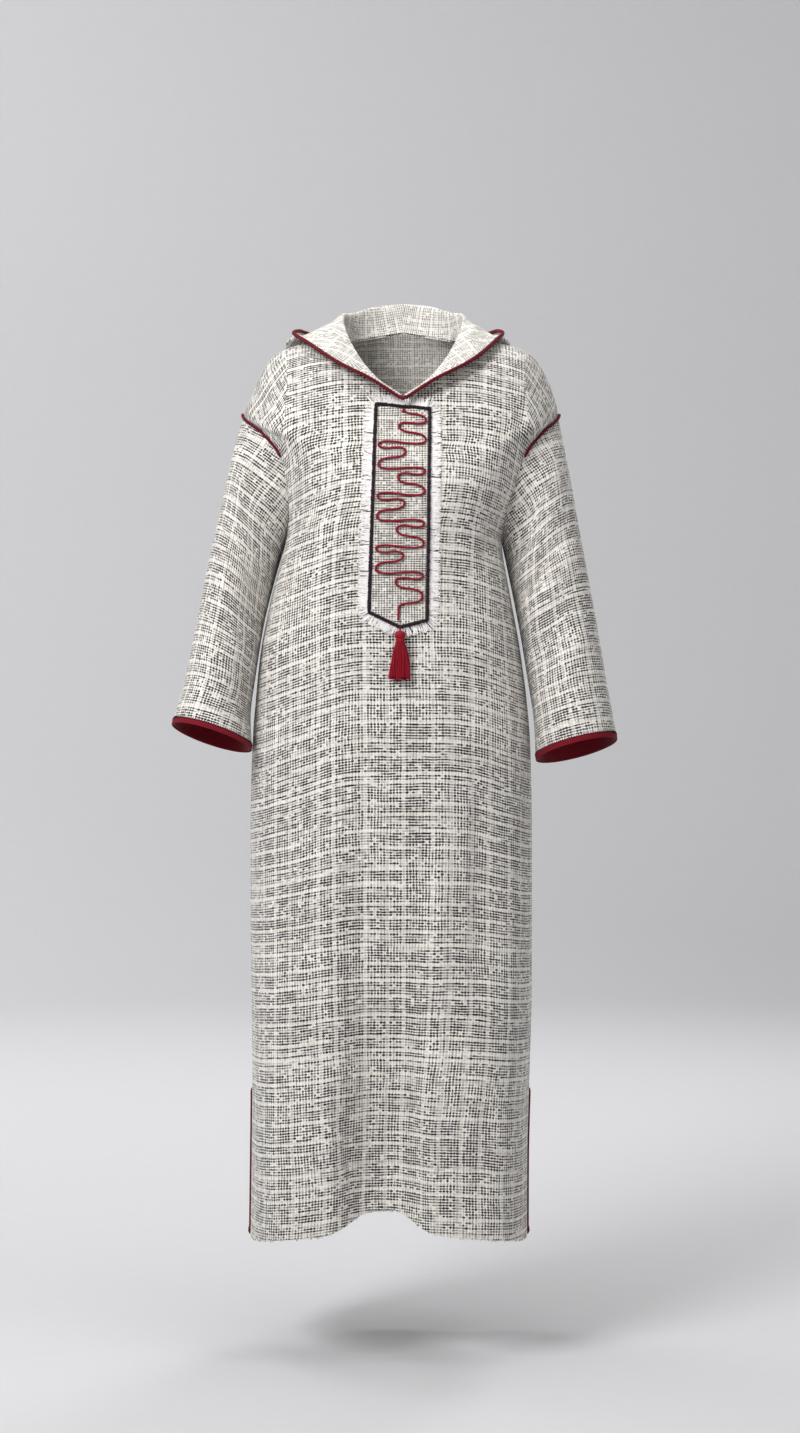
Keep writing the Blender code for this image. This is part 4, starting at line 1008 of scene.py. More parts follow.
class Wiring:
    """Adds nodes to a tree and links them; a value is a number, a colour, a socket or a signal."""

    def __init__(self, tree):
        self.tree = tree
        self.placed = 0

    def node(self, kind, **settings):
        made = self.tree.nodes.new(kind)
        made.location = (self.placed % 12 * 190, -(self.placed // 12) * 260)
        self.placed += 1
        for key, value in settings.items():
            setattr(made, key, value)
        return made

    def put(self, socket, value):
        if isinstance(value, Signal):
            value = value.socket
        if isinstance(value, bpy.types.NodeSocket):
            self.tree.links.new(value, socket)
        else:
            socket.default_value = value

    def fill(self, made, *values):
        """Values into a node's first inputs, then its first output as a signal."""
        for socket, value in zip(made.inputs, values):
            self.put(socket, value)
        return Signal(self, made.outputs[0])

    def math(self, operation, *values, clamp=False):
        return self.fill(self.node("ShaderNodeMath", operation=operation, use_clamp=clamp), *values)

    def scaled(self, value, factor, more):
        """value times factor, plus more, in one node."""
        return self.math("MULTIPLY_ADD", value, factor, more)

    def floor(self, value):
        return self.math("FLOOR", value)

    def size(self, value):
        return self.math("ABSOLUTE", value)

    def ridge(self, value):
        """A row of humps, one for each whole number."""
        return self.size(self.math("SINE", value * math.pi))

    def ramp(self, value, low, high, to_low=0.0, to_high=1.0):
        made = self.node("ShaderNodeMapRange", interpolation_type="SMOOTHSTEP")
        return self.fill(made, value, low, high, to_low, to_high)

    def mix(self, share, a, b, blend="MIX"):
        made = self.node("ShaderNodeMix", data_type="RGBA", blend_type=blend)
        for place, value in ((0, share), (6, a), (7, b)):
            self.put(made.inputs[place], value)
        return made.outputs[2]

    def dimmed(self, colour, factor):
        return self.mix(1.0, colour, self.vector(factor, factor, factor), "MULTIPLY")

    def parts(self, vector):
        made = self.node("ShaderNodeSeparateXYZ")
        self.put(made.inputs[0], vector)
        return [Signal(self, socket) for socket in made.outputs]

    def vector(self, x=0.0, y=0.0, z=0.0):
        return self.fill(self.node("ShaderNodeCombineXYZ"), x, y, z)

    def noise(self, vector, scale, detail=1.0, flat=True):
        """Noise as a signal and as a colour."""
        made = self.node("ShaderNodeTexNoise", noise_dimensions="2D" if flat else "3D")
        self.put(made.inputs["Vector"], vector)
        made.inputs["Scale"].default_value = scale
        made.inputs["Detail"].default_value = detail
        return Signal(self, made.outputs["Fac"]), made.outputs["Color"]

    def chance(self, x, y):
        """One random number for each whole (x, y)."""
        made = self.node("ShaderNodeTexWhiteNoise", noise_dimensions="2D")
        self.put(made.inputs["Vector"], self.vector(x, y))
        return Signal(self, made.outputs["Value"])

    def group(self, name, **values):
        """A shared node group with these values, and its outputs."""
        made = self.node("ShaderNodeGroup", node_tree=shader_group(name))
        for key, value in values.items():
            self.put(made.inputs[key.replace("_", " ")], value)
        return made.outputs


def slub_weave(w, given):
    """Cream cloth with dark slub yarns both ways. A dark weft shows as a dash where it passes
    over a dark warp, the warp as a thin line between two wefts; some yarns are left out."""
    u, v, _ = w.parts(given["Place"])
    _, near = w.noise(given["Place"], 170.0, 1.0)
    _, far = w.noise(given["Place"], 21.0, 1.0)
    near_x, near_y, _ = w.parts(near)
    far_x, far_y, _ = w.parts(far)

    def strayed(line, close, wide):
        close = (close - 0.5) * given["Wander"]
        wide = (wide - 0.5) * given["Wander"]
        return w.scaled(wide, 6.0, w.scaled(close, 1.8, line))

    u, v = strayed(u, near_x, far_x), strayed(v, near_y, far_y)
    p, q = u / given["Warp Pitch"], v / given["Weft Pitch"]
    column, row = w.floor(p), w.floor(q)
    off_p = w.size(w.math("FRACT", p) - 0.5)
    off_q = w.size(w.math("FRACT", q) - 0.5)
    one, two = w.chance(column, row), w.chance(row, column)

    def present(line, along, group, bare, seed):
        """How strong a dark yarn is along its length: in each group of lines one is left out,
        and the others are whole or, here and there, thin."""
        part = w.floor(line / group)
        within = line - part * group
        pick = w.floor(w.chance(part, seed) * (group - 1.0))
        left_out = w.math("COMPARE", within, pick, 0.5)
        place = w.vector(along * 0.09, w.scaled(line, 0.73, seed))
        drift, _ = w.noise(place, 1.0, 2.0)
        strong = w.scaled(drift, 0.8, w.chance(line, seed) * 0.5)
        strong = w.ramp(strong, 0.30, 0.52, 0.35, 1.0)
        keep = 1.0 - left_out * bare
        return strong * w.ramp(drift, 0.56, 0.70, keep, 1.0)

    rows = present(row, p, 6.0, given["Bare Rows"], 71.0)
    columns = present(column, q, 7.0, given["Bare Columns"], 53.0)
    slow, _ = w.noise(given["Place"], 9.0, 2.0)
    lead = w.ramp(slow, 0.35, 0.65, -0.05, 0.05)
    reach = w.scaled(one, 0.20, 0.33) + lead
    thick = w.scaled(two, 0.10, 0.24)
    weft = w.ramp(reach - off_p, -0.05, 0.05) * w.ramp(thick - off_q, -0.07, 0.07)
    weft = weft * (rows * w.ramp(columns, 0.0, 1.0, 0.55, 1.0))
    long = w.scaled(w.chance(column + 17.0, row), 0.34, 0.04) - lead
    warp = w.ramp(w.scaled(two, 0.06, 0.10) - off_p, -0.05, 0.05) * w.ramp(
        off_q - (0.5 - long), -0.06, 0.06
    )
    warp = warp * (columns * 0.88)
    dark = w.math("MAXIMUM", weft, warp) * w.ramp(one, 0.02, 0.14, 0.25, 1.0)
    dark = w.math("MULTIPLY", dark, given["Strength"], clamp=True)
    fine_p, fine_q = p * 2.0, q * 2.0
    tint = w.chance(w.floor(fine_p), 11.0) * 0.5 + w.chance(19.0, w.floor(fine_q)) * 0.5
    ridge = (w.ridge(fine_p) + w.ridge(fine_q)) * 0.5
    ground = w.mix(w.ramp(tint, 0.35, 1.0), given["Ground"], given["Flax"])
    # The ground is painted up to 10% darker between the fine yarns: painted shade in the hollows of the
    # weave
    ground = w.dimmed(ground, w.ramp(ridge, 0.05, 0.6, 0.90, 1.0))
    return w.mix(dark, ground, given["Slub"]), w.scaled(dark, 0.5, ridge)


def wound_yarn(w, given):
    """Strands wound round a cord: slanted lines at a pitch, painted darker in the grooves between the
    strands as painted shade, with yarns of two tones.
    """
    u, v, _ = w.parts(given["Place"])
    line = w.scaled(v, given["Slant"], u) / given["Pitch"]
    wave = w.ridge(line)
    patches, _ = w.noise(given["Place"], 260.0, 2.0)
    odd = w.chance(w.floor(line), w.floor(v * 20.0))
    # Where light is low the yarn takes its dark colour: painted shade in the grooves, where the wave is
    # low, and a darker tone on odd strands and in patches
    light = w.ramp(wave, 0.05, 0.75) * w.ramp(patches, 0.2, 0.75, 0.55, 1.0)
    light = light * w.ramp(odd, 0.0, 1.0, 0.75, 1.0)
    return w.mix(light, given["Deep"], given["Yarn"]), wave


def handled_cloth(w, given):
    """Slow light and dark clouds over a colour."""
    slow, _ = w.noise(given["Position"], 9.0, 3.0, flat=False)
    return (w.dimmed(given["Color"], w.scaled(slow - 0.5, given["Amount"], 1.0)),)


GREY = (0.5, 0.5, 0.5, 1)
# Each shared node group: what wires it, its outputs, and its inputs with their defaults
SHADERS = {
    "slub weave": (
        slub_weave,
        ("Color", "Height"),
        {
            "Place": None,
            "Warp Pitch": 0.0045,
            "Weft Pitch": 0.0038,
            "Wander": 0.0005,
            "Bare Rows": 0.8,
            "Bare Columns": 0.7,
            "Strength": 1.0,
            "Ground": (0.8, 0.8, 0.8, 1),
            "Flax": (0.6, 0.6, 0.6, 1),
            "Slub": (0.03, 0.03, 0.03, 1),
        },
    ),
    "wound yarn": (
        wound_yarn,
        ("Color", "Height"),
        {"Place": None, "Pitch": 0.002, "Slant": 0.5, "Yarn": GREY, "Deep": (0.1, 0.1, 0.1, 1)},
    ),
    "handled cloth": (
        handled_cloth,
        ("Color",),
        {"Position": None, "Color": GREY, "Amount": 0.1},
    ),
}
SOCKETS = {type(None): "NodeSocketVector", float: "NodeSocketFloat", tuple: "NodeSocketColor"}


def shader_group(name):
    """The shared node group of this name, made when it is asked for first."""
    if name in bpy.data.node_groups:
        return bpy.data.node_groups[name]
    wire, outputs, inputs = SHADERS[name]
    tree = bpy.data.node_groups.new(name, "ShaderNodeTree")
    for label, default in inputs.items():
        kind = SOCKETS[type(default)]
        socket = tree.interface.new_socket(name=label, in_out="INPUT", socket_type=kind)
        if default is not None:
            socket.default_value = default
    for label in outputs:
        kind = "NodeSocketColor" if label == "Color" else "NodeSocketFloat"
        tree.interface.new_socket(name=label, in_out="OUTPUT", socket_type=kind)
    w = Wiring(tree)
    given, out = w.node("NodeGroupInput").outputs, w.node("NodeGroupOutput").inputs
    for label, value in zip(outputs, wire(w, given)):
        w.put(out[label], value)
    return tree


def new_material(name, roughness, sheen=0.0, sheen_roughness=0.5):
    """A material with a matt shader, and its wiring."""
    material = bpy.data.materials.new(name)
    material.use_nodes = True
    shader = material.node_tree.nodes["Principled BSDF"]
    shader.inputs["Roughness"].default_value = roughness
    shader.inputs["Specular IOR Level"].default_value = 0.25
    shader.inputs["Sheen Weight"].default_value = sheen
    shader.inputs["Sheen Roughness"].default_value = sheen_roughness
    return material, Wiring(material.node_tree), shader


def patterned(name, matt, pattern, shift, depth, cloud, **values):
    """A material with a node group's pattern on the piece's own yarn places, moved so that
    pieces don't repeat one another. Its colour goes through slow clouds, and its height is a
    bump of so many metres."""
    material, w, shader = new_material(name, *matt)
    moved = w.node("ShaderNodeMapping")
    moved.inputs["Location"].default_value = (*shift, 0)
    w.put(moved.inputs["Vector"], w.node("ShaderNodeUVMap", uv_map="thread").outputs[0])
    yarn = w.group(pattern, Place=moved.outputs[0], **values)
    position = w.node("ShaderNodeTexCoord").outputs["Object"]
    clouds = w.group("handled cloth", Position=position, Color=yarn["Color"], Amount=cloud)
    w.put(shader.inputs["Base Color"], clouds["Color"])
    bump = w.node("ShaderNodeBump")
    bump.inputs["Distance"].default_value = depth
    bump.inputs["Strength"].default_value = 0.8
    w.put(bump.inputs["Height"], yarn["Height"])
    w.put(shader.inputs["Normal"], bump.outputs["Normal"])
    return material


def tweed(name, shift, reverse=False, dense=False):
    """The robe's cloth, its reverse, or the denser cloth of the placket."""
    cloth = bpy.context.scene.robe_cloth
    scale = 0.80 if reverse else 0.85 if dense else 1.0
    return patterned(
        name, (0.92, 0.25, 0.6), "slub weave", shift, 0.0006, 0.10,
        Warp_Pitch=cloth.warp_pitch * scale,
        Weft_Pitch=cloth.weft_pitch * scale,
        Wander=cloth.wander * (0.5 if dense else 1),
        Bare_Rows=0.0 if dense else 0.80,
        Bare_Columns=0.0 if dense else 0.85,
        Strength=0.76 if reverse else 0.85 if dense else 1.0,
        Ground=cloth.ground,
        Flax=cloth.ground if reverse else cloth.flax,
        Slub=cloth.reverse_slub if reverse else cloth.slub,
    )


def two_faced(name, inside, shift):
    """The robe's cloth and, named apart, its reverse."""
    return [tweed(f"tweed {name}", shift), tweed(inside, shift, reverse=True)]


def corded(kind, colour, word=""):
    """A yarn of one of the kinds, in one colour and a darker copy of it, painted as shade in its grooves
    and as a darker tone.
    """
    pitch, slant, roughness, sheen, deep, depth = YARNS[kind]
    # The darker copy of the colour is painted groove shade and darker tone
    return patterned(
        kind + word, (roughness, sheen, 0.4), "wound yarn", (0.0, 0.0), depth, 0.2,
        Pitch=pitch, Slant=slant, Yarn=colour, Deep=(*(c * deep for c in colour[:3]), 1),
    )


# The pieces


class ROBE_OT_body(bpy.types.Operator):
    """Build the robe's front and back panels"""

    bl_idname = "robe.body"
    bl_label = "Front and back"

    def execute(self, context):
        cloth = context.scene.robe_cloth
        for name, node, back, shift in (
            ("robe_front", "body_front", False, (0.0, 0.0)),
            ("robe_back", "body_back", True, (0.9, 0.45)),
        ):
            points, normals = body_panel(back)
            places, capped, cap = thread_place(points, cloth.droop)
            sewn_cloth(
                name, node, points, normals, cloth.thickness, places,
                two_faced(name, f"tweed inside {name}", shift), patch=(capped, cap),
            )
            self.fray(name, back, cloth)
        return {"FINISHED"}

    def fray(self, name, back, cloth):
        """Short yarn ends under the hem: start + s (down + lean), each with a bend of its own."""
        random = np.random.default_rng(41 + back)
        fine = np.linspace(-0.995, 0.995, 600)
        hem = pressed_body(np.zeros(len(fine)), fine, back)
        count = int(lengths_along(hem)[-1] / HEM_YARN_SPACING)
        at = np.sort(random.uniform(-0.985, 0.985, count))
        start = pressed_body(np.zeros(count), at, back)
        normal = body_normal(np.zeros(count), at, back)
        along = unit(read_columns(at, fine, np.gradient(hem, axis=0)))
        s = np.linspace(0, 1, 5)[None, :, None]
        one_each = (count, 1, 1)
        lean = random.normal(0, 0.35, one_each) * s + random.normal(0, 0.3, one_each) * s**2
        out = random.uniform(-0.45, 0.45, one_each) * cloth.thickness
        long = random.uniform(0.0016, 0.0042, one_each)
        down = np.array([0.0, 0.0, -1.0])
        sewn_in = 0.0008
        paths = (
            start[:, None] + normal[:, None] * out - down * sewn_in
            + long * (down * s + along[:, None] * lean)
        )
        guides = np.broadcast_to(normal[:, None], paths.shape)
        radius = random.uniform(0.00022, 0.00038, (count, 1)) * (1 - 0.4 * s[..., 0])
        made = tubes(paths, guides, radius, 4)
        pale = corded("hem yarn", cloth.ground, f" {name}")
        dark = corded("hem dark yarn", cloth.slub, f" {name}")
        yarns(f"hem_yarns_{name}", made, [pale, dark], random.uniform(0, 1, count) < 0.3)


class ROBE_OT_sleeves(bpy.types.Operator):
    """Build both sleeves with their cuff bindings and linings"""

    bl_idname = "robe.sleeves"
    bl_label = "Sleeves and cuffs"

    def execute(self, context):
        cloth, trims = context.scene.robe_cloth, context.scene.robe_trims
        binding = corded("cuff binding cloth", trims.cuff)
        # The facing is painted 5% darker than the binding: painted shade inside the cuff
        shade = tuple(0.95 * c for c in trims.cuff[:3]) + (1,)
        lining = corded("cuff facing cloth", shade)
        overcast = corded("cuff overcast yarn", trims.plum)
        for side, word in SIDES:
            points, normals = sleeve_surface(side, cloth.thickness)
            name = f"robe_sleeve_{word}"
            shift = (0.4 + side * 1.1, 0.2)
            sewn_cloth(
                name, f"sleeve_{word}", points, normals, cloth.thickness, self.places(points),
                two_faced(name, f"inside {name}", shift), ring=True,
            )
            self.cuff(word, points, normals, cloth.thickness, binding, lining, overcast)
        return {"FINISHED"}

    def places(self, points):
        """Across is the way round from the outer line, up the way from the cuff, sheared near
        the armhole so that the wefts fall towards the body."""
        loop = closed(points, axis=1)
        across = lengths_along(loop, axis=1)
        across = across - across[:, across.shape[1] // 2, None]
        up = lengths_along(loop[::-1], axis=0)[::-1]
        shear = 0.045
        inner = (1 + np.cos(np.linspace(0, 2 * np.pi, loop.shape[1]))) / 2
        near = smooth(np.linspace(1.3, -0.1, len(points)))
        return np.stack([across, up + shear * near[:, None] * inner], axis=-1)

    def cuff(self, word, points, normals, thickness, binding, lining, overcast):
        """The binding carries the sleeve on, rolled over its edge; the facing lies inside it."""
        along = unit(points[-1] - points[-2])
        end, out = points[-1], normals[-1]
        bulge, shorter = 0.0005, 0.001
        share = np.linspace(0, 1, 6)[:, None, None]
        band = end + along * (SEAM_GAP + CUFF_BINDING_HEIGHT * share)
        band = band + out * (bulge * np.sin(np.pi * share))
        inwards = thickness / 2 + 2 * SEAM_GAP + FACING_CLOTH / 2
        faced = slice(-CUFF_FACING_ROWS, None)
        last = end + along * (CUFF_BINDING_HEIGHT - shorter) - out * inwards
        inner = np.concatenate([points[faced] - normals[faced] * inwards, last[None]])
        inner_normals = np.concatenate([normals[faced], out[None]])
        for part, surface, directions, wall, material in (
            ("binding", band, np.broadcast_to(out, band.shape), thickness, binding),
            ("facing", inner, inner_normals, FACING_CLOTH, lining),
        ):
            piece = cloth_shell(
                f"cuff_{part}_{word}_dressed", surface, directions, wall, self.places(surface),
                [material], ring=True,
            )
            settle(piece, [f"cuff_{part}_{word}"])
        self.overcast(word, band[0], out, along, overcast)

    def overcast(self, word, top, out, along, material):
        """Slanted stitches over the seam of sleeve and binding, each a low arc
        top + slant s round + (reach s - above) along + lift sin(pi s)."""
        gone = lengths_along(closed(top))
        count = int(gone[-1] / OVERCAST_SPACING)
        at = np.arange(count)[:, None] / count * gone[-1]
        s = np.linspace(0, 1, 6)[None]
        slant, reach, above, high, thick = 0.0028, 0.0042, 0.0017, 0.0011, 0.00055
        place = (at + slant * s) % gone[-1]
        base, normal, down = (
            read_columns(place, gone, closed(values)) for values in (top, out, along)
        )
        normal, down = unit(normal), unit(down)
        lift = high + 0.0004 * np.sin(np.pi * s)
        paths = base + down * (reach * s - above)[..., None] + normal * lift[..., None]
        swell = thick * np.sin(np.pi * (0.12 + 0.76 * s)) ** 0.5
        made = tubes(paths, normal, swell, 6)
        settle(build(f"cuff_overcast_{word}", *made, [material]))


class ROBE_OT_hood(bpy.types.Operator):
    """Build the hood, laid back on the shoulders, with its rim cord"""

    bl_idname = "robe.hood"
    bl_label = "Hood"

    def execute(self, context):
        cloth, trims = context.scene.robe_cloth, context.scene.robe_trims
        rims, guides = [], []
        for side, word in SIDES:
            points, normals = hood_surface(side, cloth.thickness)
            across = np.tile(lengths_along(points, axis=1).mean(axis=0), (len(points), 1))
            up = lengths_along(points, axis=0)
            places = laid_flat(points, np.stack([across, up], axis=-1))
            name = f"robe_hood_{word}"
            shift = (1.7 + side * 0.6, 0.8)
            sewn_cloth(
                name, f"hood_{word}", points, normals, cloth.thickness, places,
                two_faced(name, f"inside {name}", shift),
                fullness=0.6,
            )
            beyond = unit(points[-1] - points[-2])
            rims.append(points[-1] + beyond * (SEAM_GAP + RIM_EASE + trims.hood_cord))
            guides.append(normals[-1])
        self.rim(rims, guides, trims)
        return {"FINISHED"}

    def rim(self, rims, guides, trims):
        """The cord round the rim, one loop from the V of the neck up the left, down the right."""
        left, right = rims
        front = (left[:1] + right[:1]) / 2 + [0, -0.001, -0.003]
        top = (left[-1:] + right[-1:]) / 2
        loop = np.concatenate([front, left[2:-1], top, right[-2:1:-1]])
        guide = np.concatenate([guides[0][:1], guides[0][2:], guides[1][-2:1:-1]])
        path, guide = evenly_guided(closed(loop), closed(guide), RIM_CORD_STEP)
        yarn = corded("hood rim cord", trims.wine)
        cord(
            "hood_rim_cord", path[:-1], guide[:-1], trims.hood_cord, 12, yarn, "piping",
            ["hood_piping"], ring=True, lobes=2, lobe_depth=0.13, twist=0.0052,
        )


class ROBE_OT_seam_cords(bpy.types.Operator):
    """Build the pipings of the armholes and the side slits"""

    bl_idname = "robe.seam_cords"
    bl_label = "Seam cords"

    def execute(self, context):
        cloth, trims = context.scene.robe_cloth, context.scene.robe_trims
        yarn = corded("seam cord", trims.wine)
        steps = 72
        # The armhole's cord lies on its upper front, over the tip and a little way down the back
        keep = slice(round(steps * 7 / 12), round(steps * 17 / 12) + 1)
        rows = np.linspace(0, 1.8, 60)
        outwards = 0.0020
        for side, word in SIDES:
            loop, body_normals = armhole_loop(side, steps)
            points, normals = sleeve_surface(side, cloth.thickness, steps=steps)
            between = unit(body_normals + normals[0])
            cosine = dot(between, normals[0])
            reach = (cloth.thickness / 2 + SEAM_GAP + trims.armhole_cord) / np.maximum(cosine, 0.80)
            path = ((loop + points[0]) / 2 + between * reach)[keep]
            self.lay("armhole", word, path, between[keep], trims.armhole_cord, yarn)
            for back, face in ((False, "front"), (True, "back")):
                edge = body(rows, np.full(len(rows), float(side)), back)
                inwards = np.array([0, -1.0 if back else 1.0, 0])
                path = edge + inwards * (SEAM_GAP + trims.slit_cord) + [side * outwards, 0, 0]
                guide = np.tile([float(side), 0, 0], (len(rows), 1))
                self.lay("slit", f"{face}_{word}", path, guide, trims.slit_cord, yarn, bar=0.7)
        return {"FINISHED"}

    def lay(self, seam, word, path, guide, radius, yarn, bar=0.0):
        """A two strand cord along the path, thinned to its ends; a bar of stitches over its
        start makes it that much thicker there."""
        path, guide = evenly_guided(path, guide, CORD_STEP)
        place = np.linspace(0, 1, len(path))
        thin = radius * np.clip(np.minimum(place, 1 - place) * 60, 0.3, 1) ** 0.5
        thin = thin * (1 + bar * np.exp(-((np.arange(len(path)) / 6 - 0.8) ** 4)))
        cord(
            f"{seam}_cord_{word}", path, guide, thin, 10, yarn, "piping",
            [f"{seam}_piping_{word}"], lobes=2, lobe_depth=0.12, twist=0.0040,
        )


def offset_polygon(corners, distance):
    """The polygon with each side moved out, for corners that run clockwise."""
    corners = np.asarray(corners, float)
    direction = unit(np.roll(corners, -1, axis=0) - corners)
    out = np.stack([-direction[:, 1], direction[:, 0]], axis=1)
    start = corners + out * distance
    p, d = np.roll(start, 1, axis=0), np.roll(direction, 1, axis=0)
    cross = d[:, 0] * direction[:, 1] - d[:, 1] * direction[:, 0]
    s = ((start - p)[:, 0] * direction[:, 1] - (start - p)[:, 1] * direction[:, 0]) / cross
    return p + d * s[:, None]


def soften(path, times):
    """Corner cutting on an open path."""
    for _ in range(times):
        a, b = path[:-1], path[1:]
        cut = np.stack([a * 0.75 + b * 0.25, a * 0.25 + b * 0.75], axis=1).reshape(-1, 2)
        path = np.concatenate([path[:1], cut, path[-1:]])
    return path


def meander():
    """The couched cord as (across, down) from the placket's top centre: a plain serpent of
    units that change sides, each with one loop to the middle."""
    path = [(0.0, 0.004), (0.0, 0.010)]
    for number in range(CORD_UNITS):
        side = 1 if number % 2 == 0 else -1
        top = 0.012 + number * CORD_ADVANCE
        unit_path = ((1, 1), (1, 15), (-0.15, 10), (-0.15, 25), (1, 28), (1, 45))
        path += [(side * a * CORD_HALF_WIDTH, top + b / 1000) for a, b in unit_path]
    last = path[-1][1]
    path += [(0.05 * CORD_HALF_WIDTH, last + 0.003), (0.0, last + 0.012), (0.0, last + 0.026)]
    return soften(np.array(path), 2)


def on_placket(across, down):
    """(x, z) on the placket, from its top centre along its own lean."""
    corners = np.array(PLACKET)
    top = (corners[0] + corners[1]) / 2
    bottom = np.array([(corners[2][0] + corners[4][0]) / 2, corners[3][1]])
    axis = unit(bottom - top)
    return top + axis * down[:, None] + np.array([-axis[1], axis[0]]) * across[:, None]


class ROBE_OT_placket(bpy.types.Operator):
    """Build the chest placket with its border, couched cord and fringe"""

    bl_idname = "robe.placket"
    bl_label = "Placket"

    def execute(self, context):
        cloth, trims = context.scene.robe_cloth, context.scene.robe_trims
        half = cloth.thickness / 2
        self.panel(trims, half)
        self.border(trims, half)
        self.couched_cord(trims, half)
        self.fringe(trims, half)
        return {"FINISHED"}

    def panel(self, trims, half):
        """A five sided cloth: straight lines from its top edge to its low edge."""
        inner = offset_polygon(PLACKET, -trims.border - SEAM_GAP)
        share = np.linspace(0, 1, 41)
        low = read_columns(share, [0, 0.5, 1], inner[[4, 3, 2]])
        high = read_columns(share, [0, 1], inner[[0, 1]])
        places = high + (low - high) * np.linspace(0, 1, 120)[:, None, None]
        lift = half + 2 * SEAM_GAP + PLACKET_CLOTH / 2
        points, normals = over_front(places[..., 0], places[..., 1], lift)
        material = tweed("placket weave", (0.3, 0.1), dense=True)
        sewn_cloth(
            "placket_cloth", "placket_panel", points, normals, PLACKET_CLOTH, places, [material],
        )

    def border(self, trims, half):
        """A worked edge: a thick tube of three wound strands, knotted a little unevenly."""
        line = evenly(closed(np.array(PLACKET)), CORD_STEP)[:-1]
        path, normals = over_front(*line.T, half + SEAM_GAP + trims.border)
        random = np.random.default_rng(11)
        knots = random.uniform(0.74, 1.10, len(line) // 3 + 2)
        swell = np.interp(np.arange(len(line)) / 3, np.arange(len(knots)), knots)
        yarn = corded("placket border yarn", trims.plum)
        cord(
            "placket_edge_work", path, normals, trims.border * swell, 12, yarn, "border",
            ["placket_border"], ring=True, lobes=3, lobe_depth=0.16, twist=0.0042, grow=0.85,
        )

    def couched_cord(self, trims, half):
        """The laid cord, and a small stitch over it every 2.7 mm."""
        line = evenly(on_placket(*meander().T), CORD_STEP)
        lift = half + 3 * SEAM_GAP + PLACKET_CLOTH + trims.couched
        path, normals = over_front(*line.T, lift)
        yarn = corded("couched cord yarn", trims.crimson)
        cord(
            "placket_laid_cord", path, normals, trims.couched, 10, yarn, "couched_cord",
            ["placket_cord"], lobes=2, lobe_depth=0.10, twist=0.0036,
        )
        at = np.arange(STEPS_TO_A_STITCH, len(line) - STEPS_TO_A_STITCH, STEPS_TO_A_STITCH)
        middle, up = path[at][:, None], normals[at]
        side = np.cross(unit(np.gradient(path, axis=0))[at], up)
        angle = np.linspace(-2.0, 2.0, 7)[None, :, None]
        stitch = 0.00036
        ring = trims.couched + 0.00015
        paths = middle + ring * (np.sin(angle) * side[:, None] + np.cos(angle) * up[:, None])
        made = tubes(paths, unit(paths - middle), stitch, 4)
        settle(build("placket_stitches", *made, [yarn]))

    def fringe(self, trims, half):
        """Fine yarns laid outwards from the border: root + s out + a small bend, at mixed
        heights, dark ones here and there."""
        random = np.random.default_rng(21)
        ring = closed(np.array(PLACKET))
        spots = evenly(ring, FRINGE_SPACING)[:-1]
        count = len(spots)
        gone = lengths_along(ring)
        at = np.linspace(0, gone[-1], count + 1)[:-1]
        number = np.searchsorted(gone, at, side="right") - 1
        direction = unit(np.diff(ring, axis=0))[number]
        out = np.stack([-direction[:, 1], direction[:, 0]], axis=1)
        long = np.array([0.85, 0.92, 0.86, 0.86, 0.92])[number] * trims.fringe
        long = long * random.uniform(0.84, 1.06, count)
        # The corners fan out, so that no bare wedge is left
        corner, fan_out, scatter, curl = 0.004, 0.9, 0.13, 0.10
        before, after = at - gone[number], gone[number + 1] - at
        near = np.exp(-np.minimum(before, after) / corner)
        lean = np.where(before < after, -1, 1) * near * fan_out + random.normal(0, scatter, count)
        aim = unit(out + direction * lean[:, None])[:, None]
        s = np.linspace(0, 1, 6)
        bend = random.normal(0, curl, count)[:, None] * s**2
        start = (spots + out * trims.border * 0.55)[:, None]
        run, aside = (long[:, None] * s)[..., None], (bend * long[:, None])[..., None]
        x, z = np.moveaxis(start + aim * run + direction[:, None] * aside, -1, 0)
        neck = body(np.full(81, float(NECK_ROW)), np.linspace(-1, 1, 81), False)
        ceiling = np.interp(x, neck[:, 0], neck[:, 2]) - 0.004
        z = np.where((number == 0)[:, None], np.minimum(z, ceiling), z)
        bed = random.uniform(0, 1, count)[:, None]
        low, apart, rise = 0.0006, 0.0006, 0.0007
        lift = half + low + apart * bed + rise * s**2 * (0.4 + bed)
        path, normals = over_front(x, z, lift)
        radius = random.uniform(0.00045, 0.00085, count)[:, None] * (1 - 0.3 * s)
        made = tubes(path, normals, radius, 6, grow=0.4)
        dark = random.uniform(0, 1, count) < 0.045
        white = corded("fringe yarn", trims.white)
        brown = corded("fringe dark yarn", bpy.context.scene.robe_cloth.slub)
        yarns("placket_fringe_yarns", made, [white, brown], dark, ["placket_fringe"])


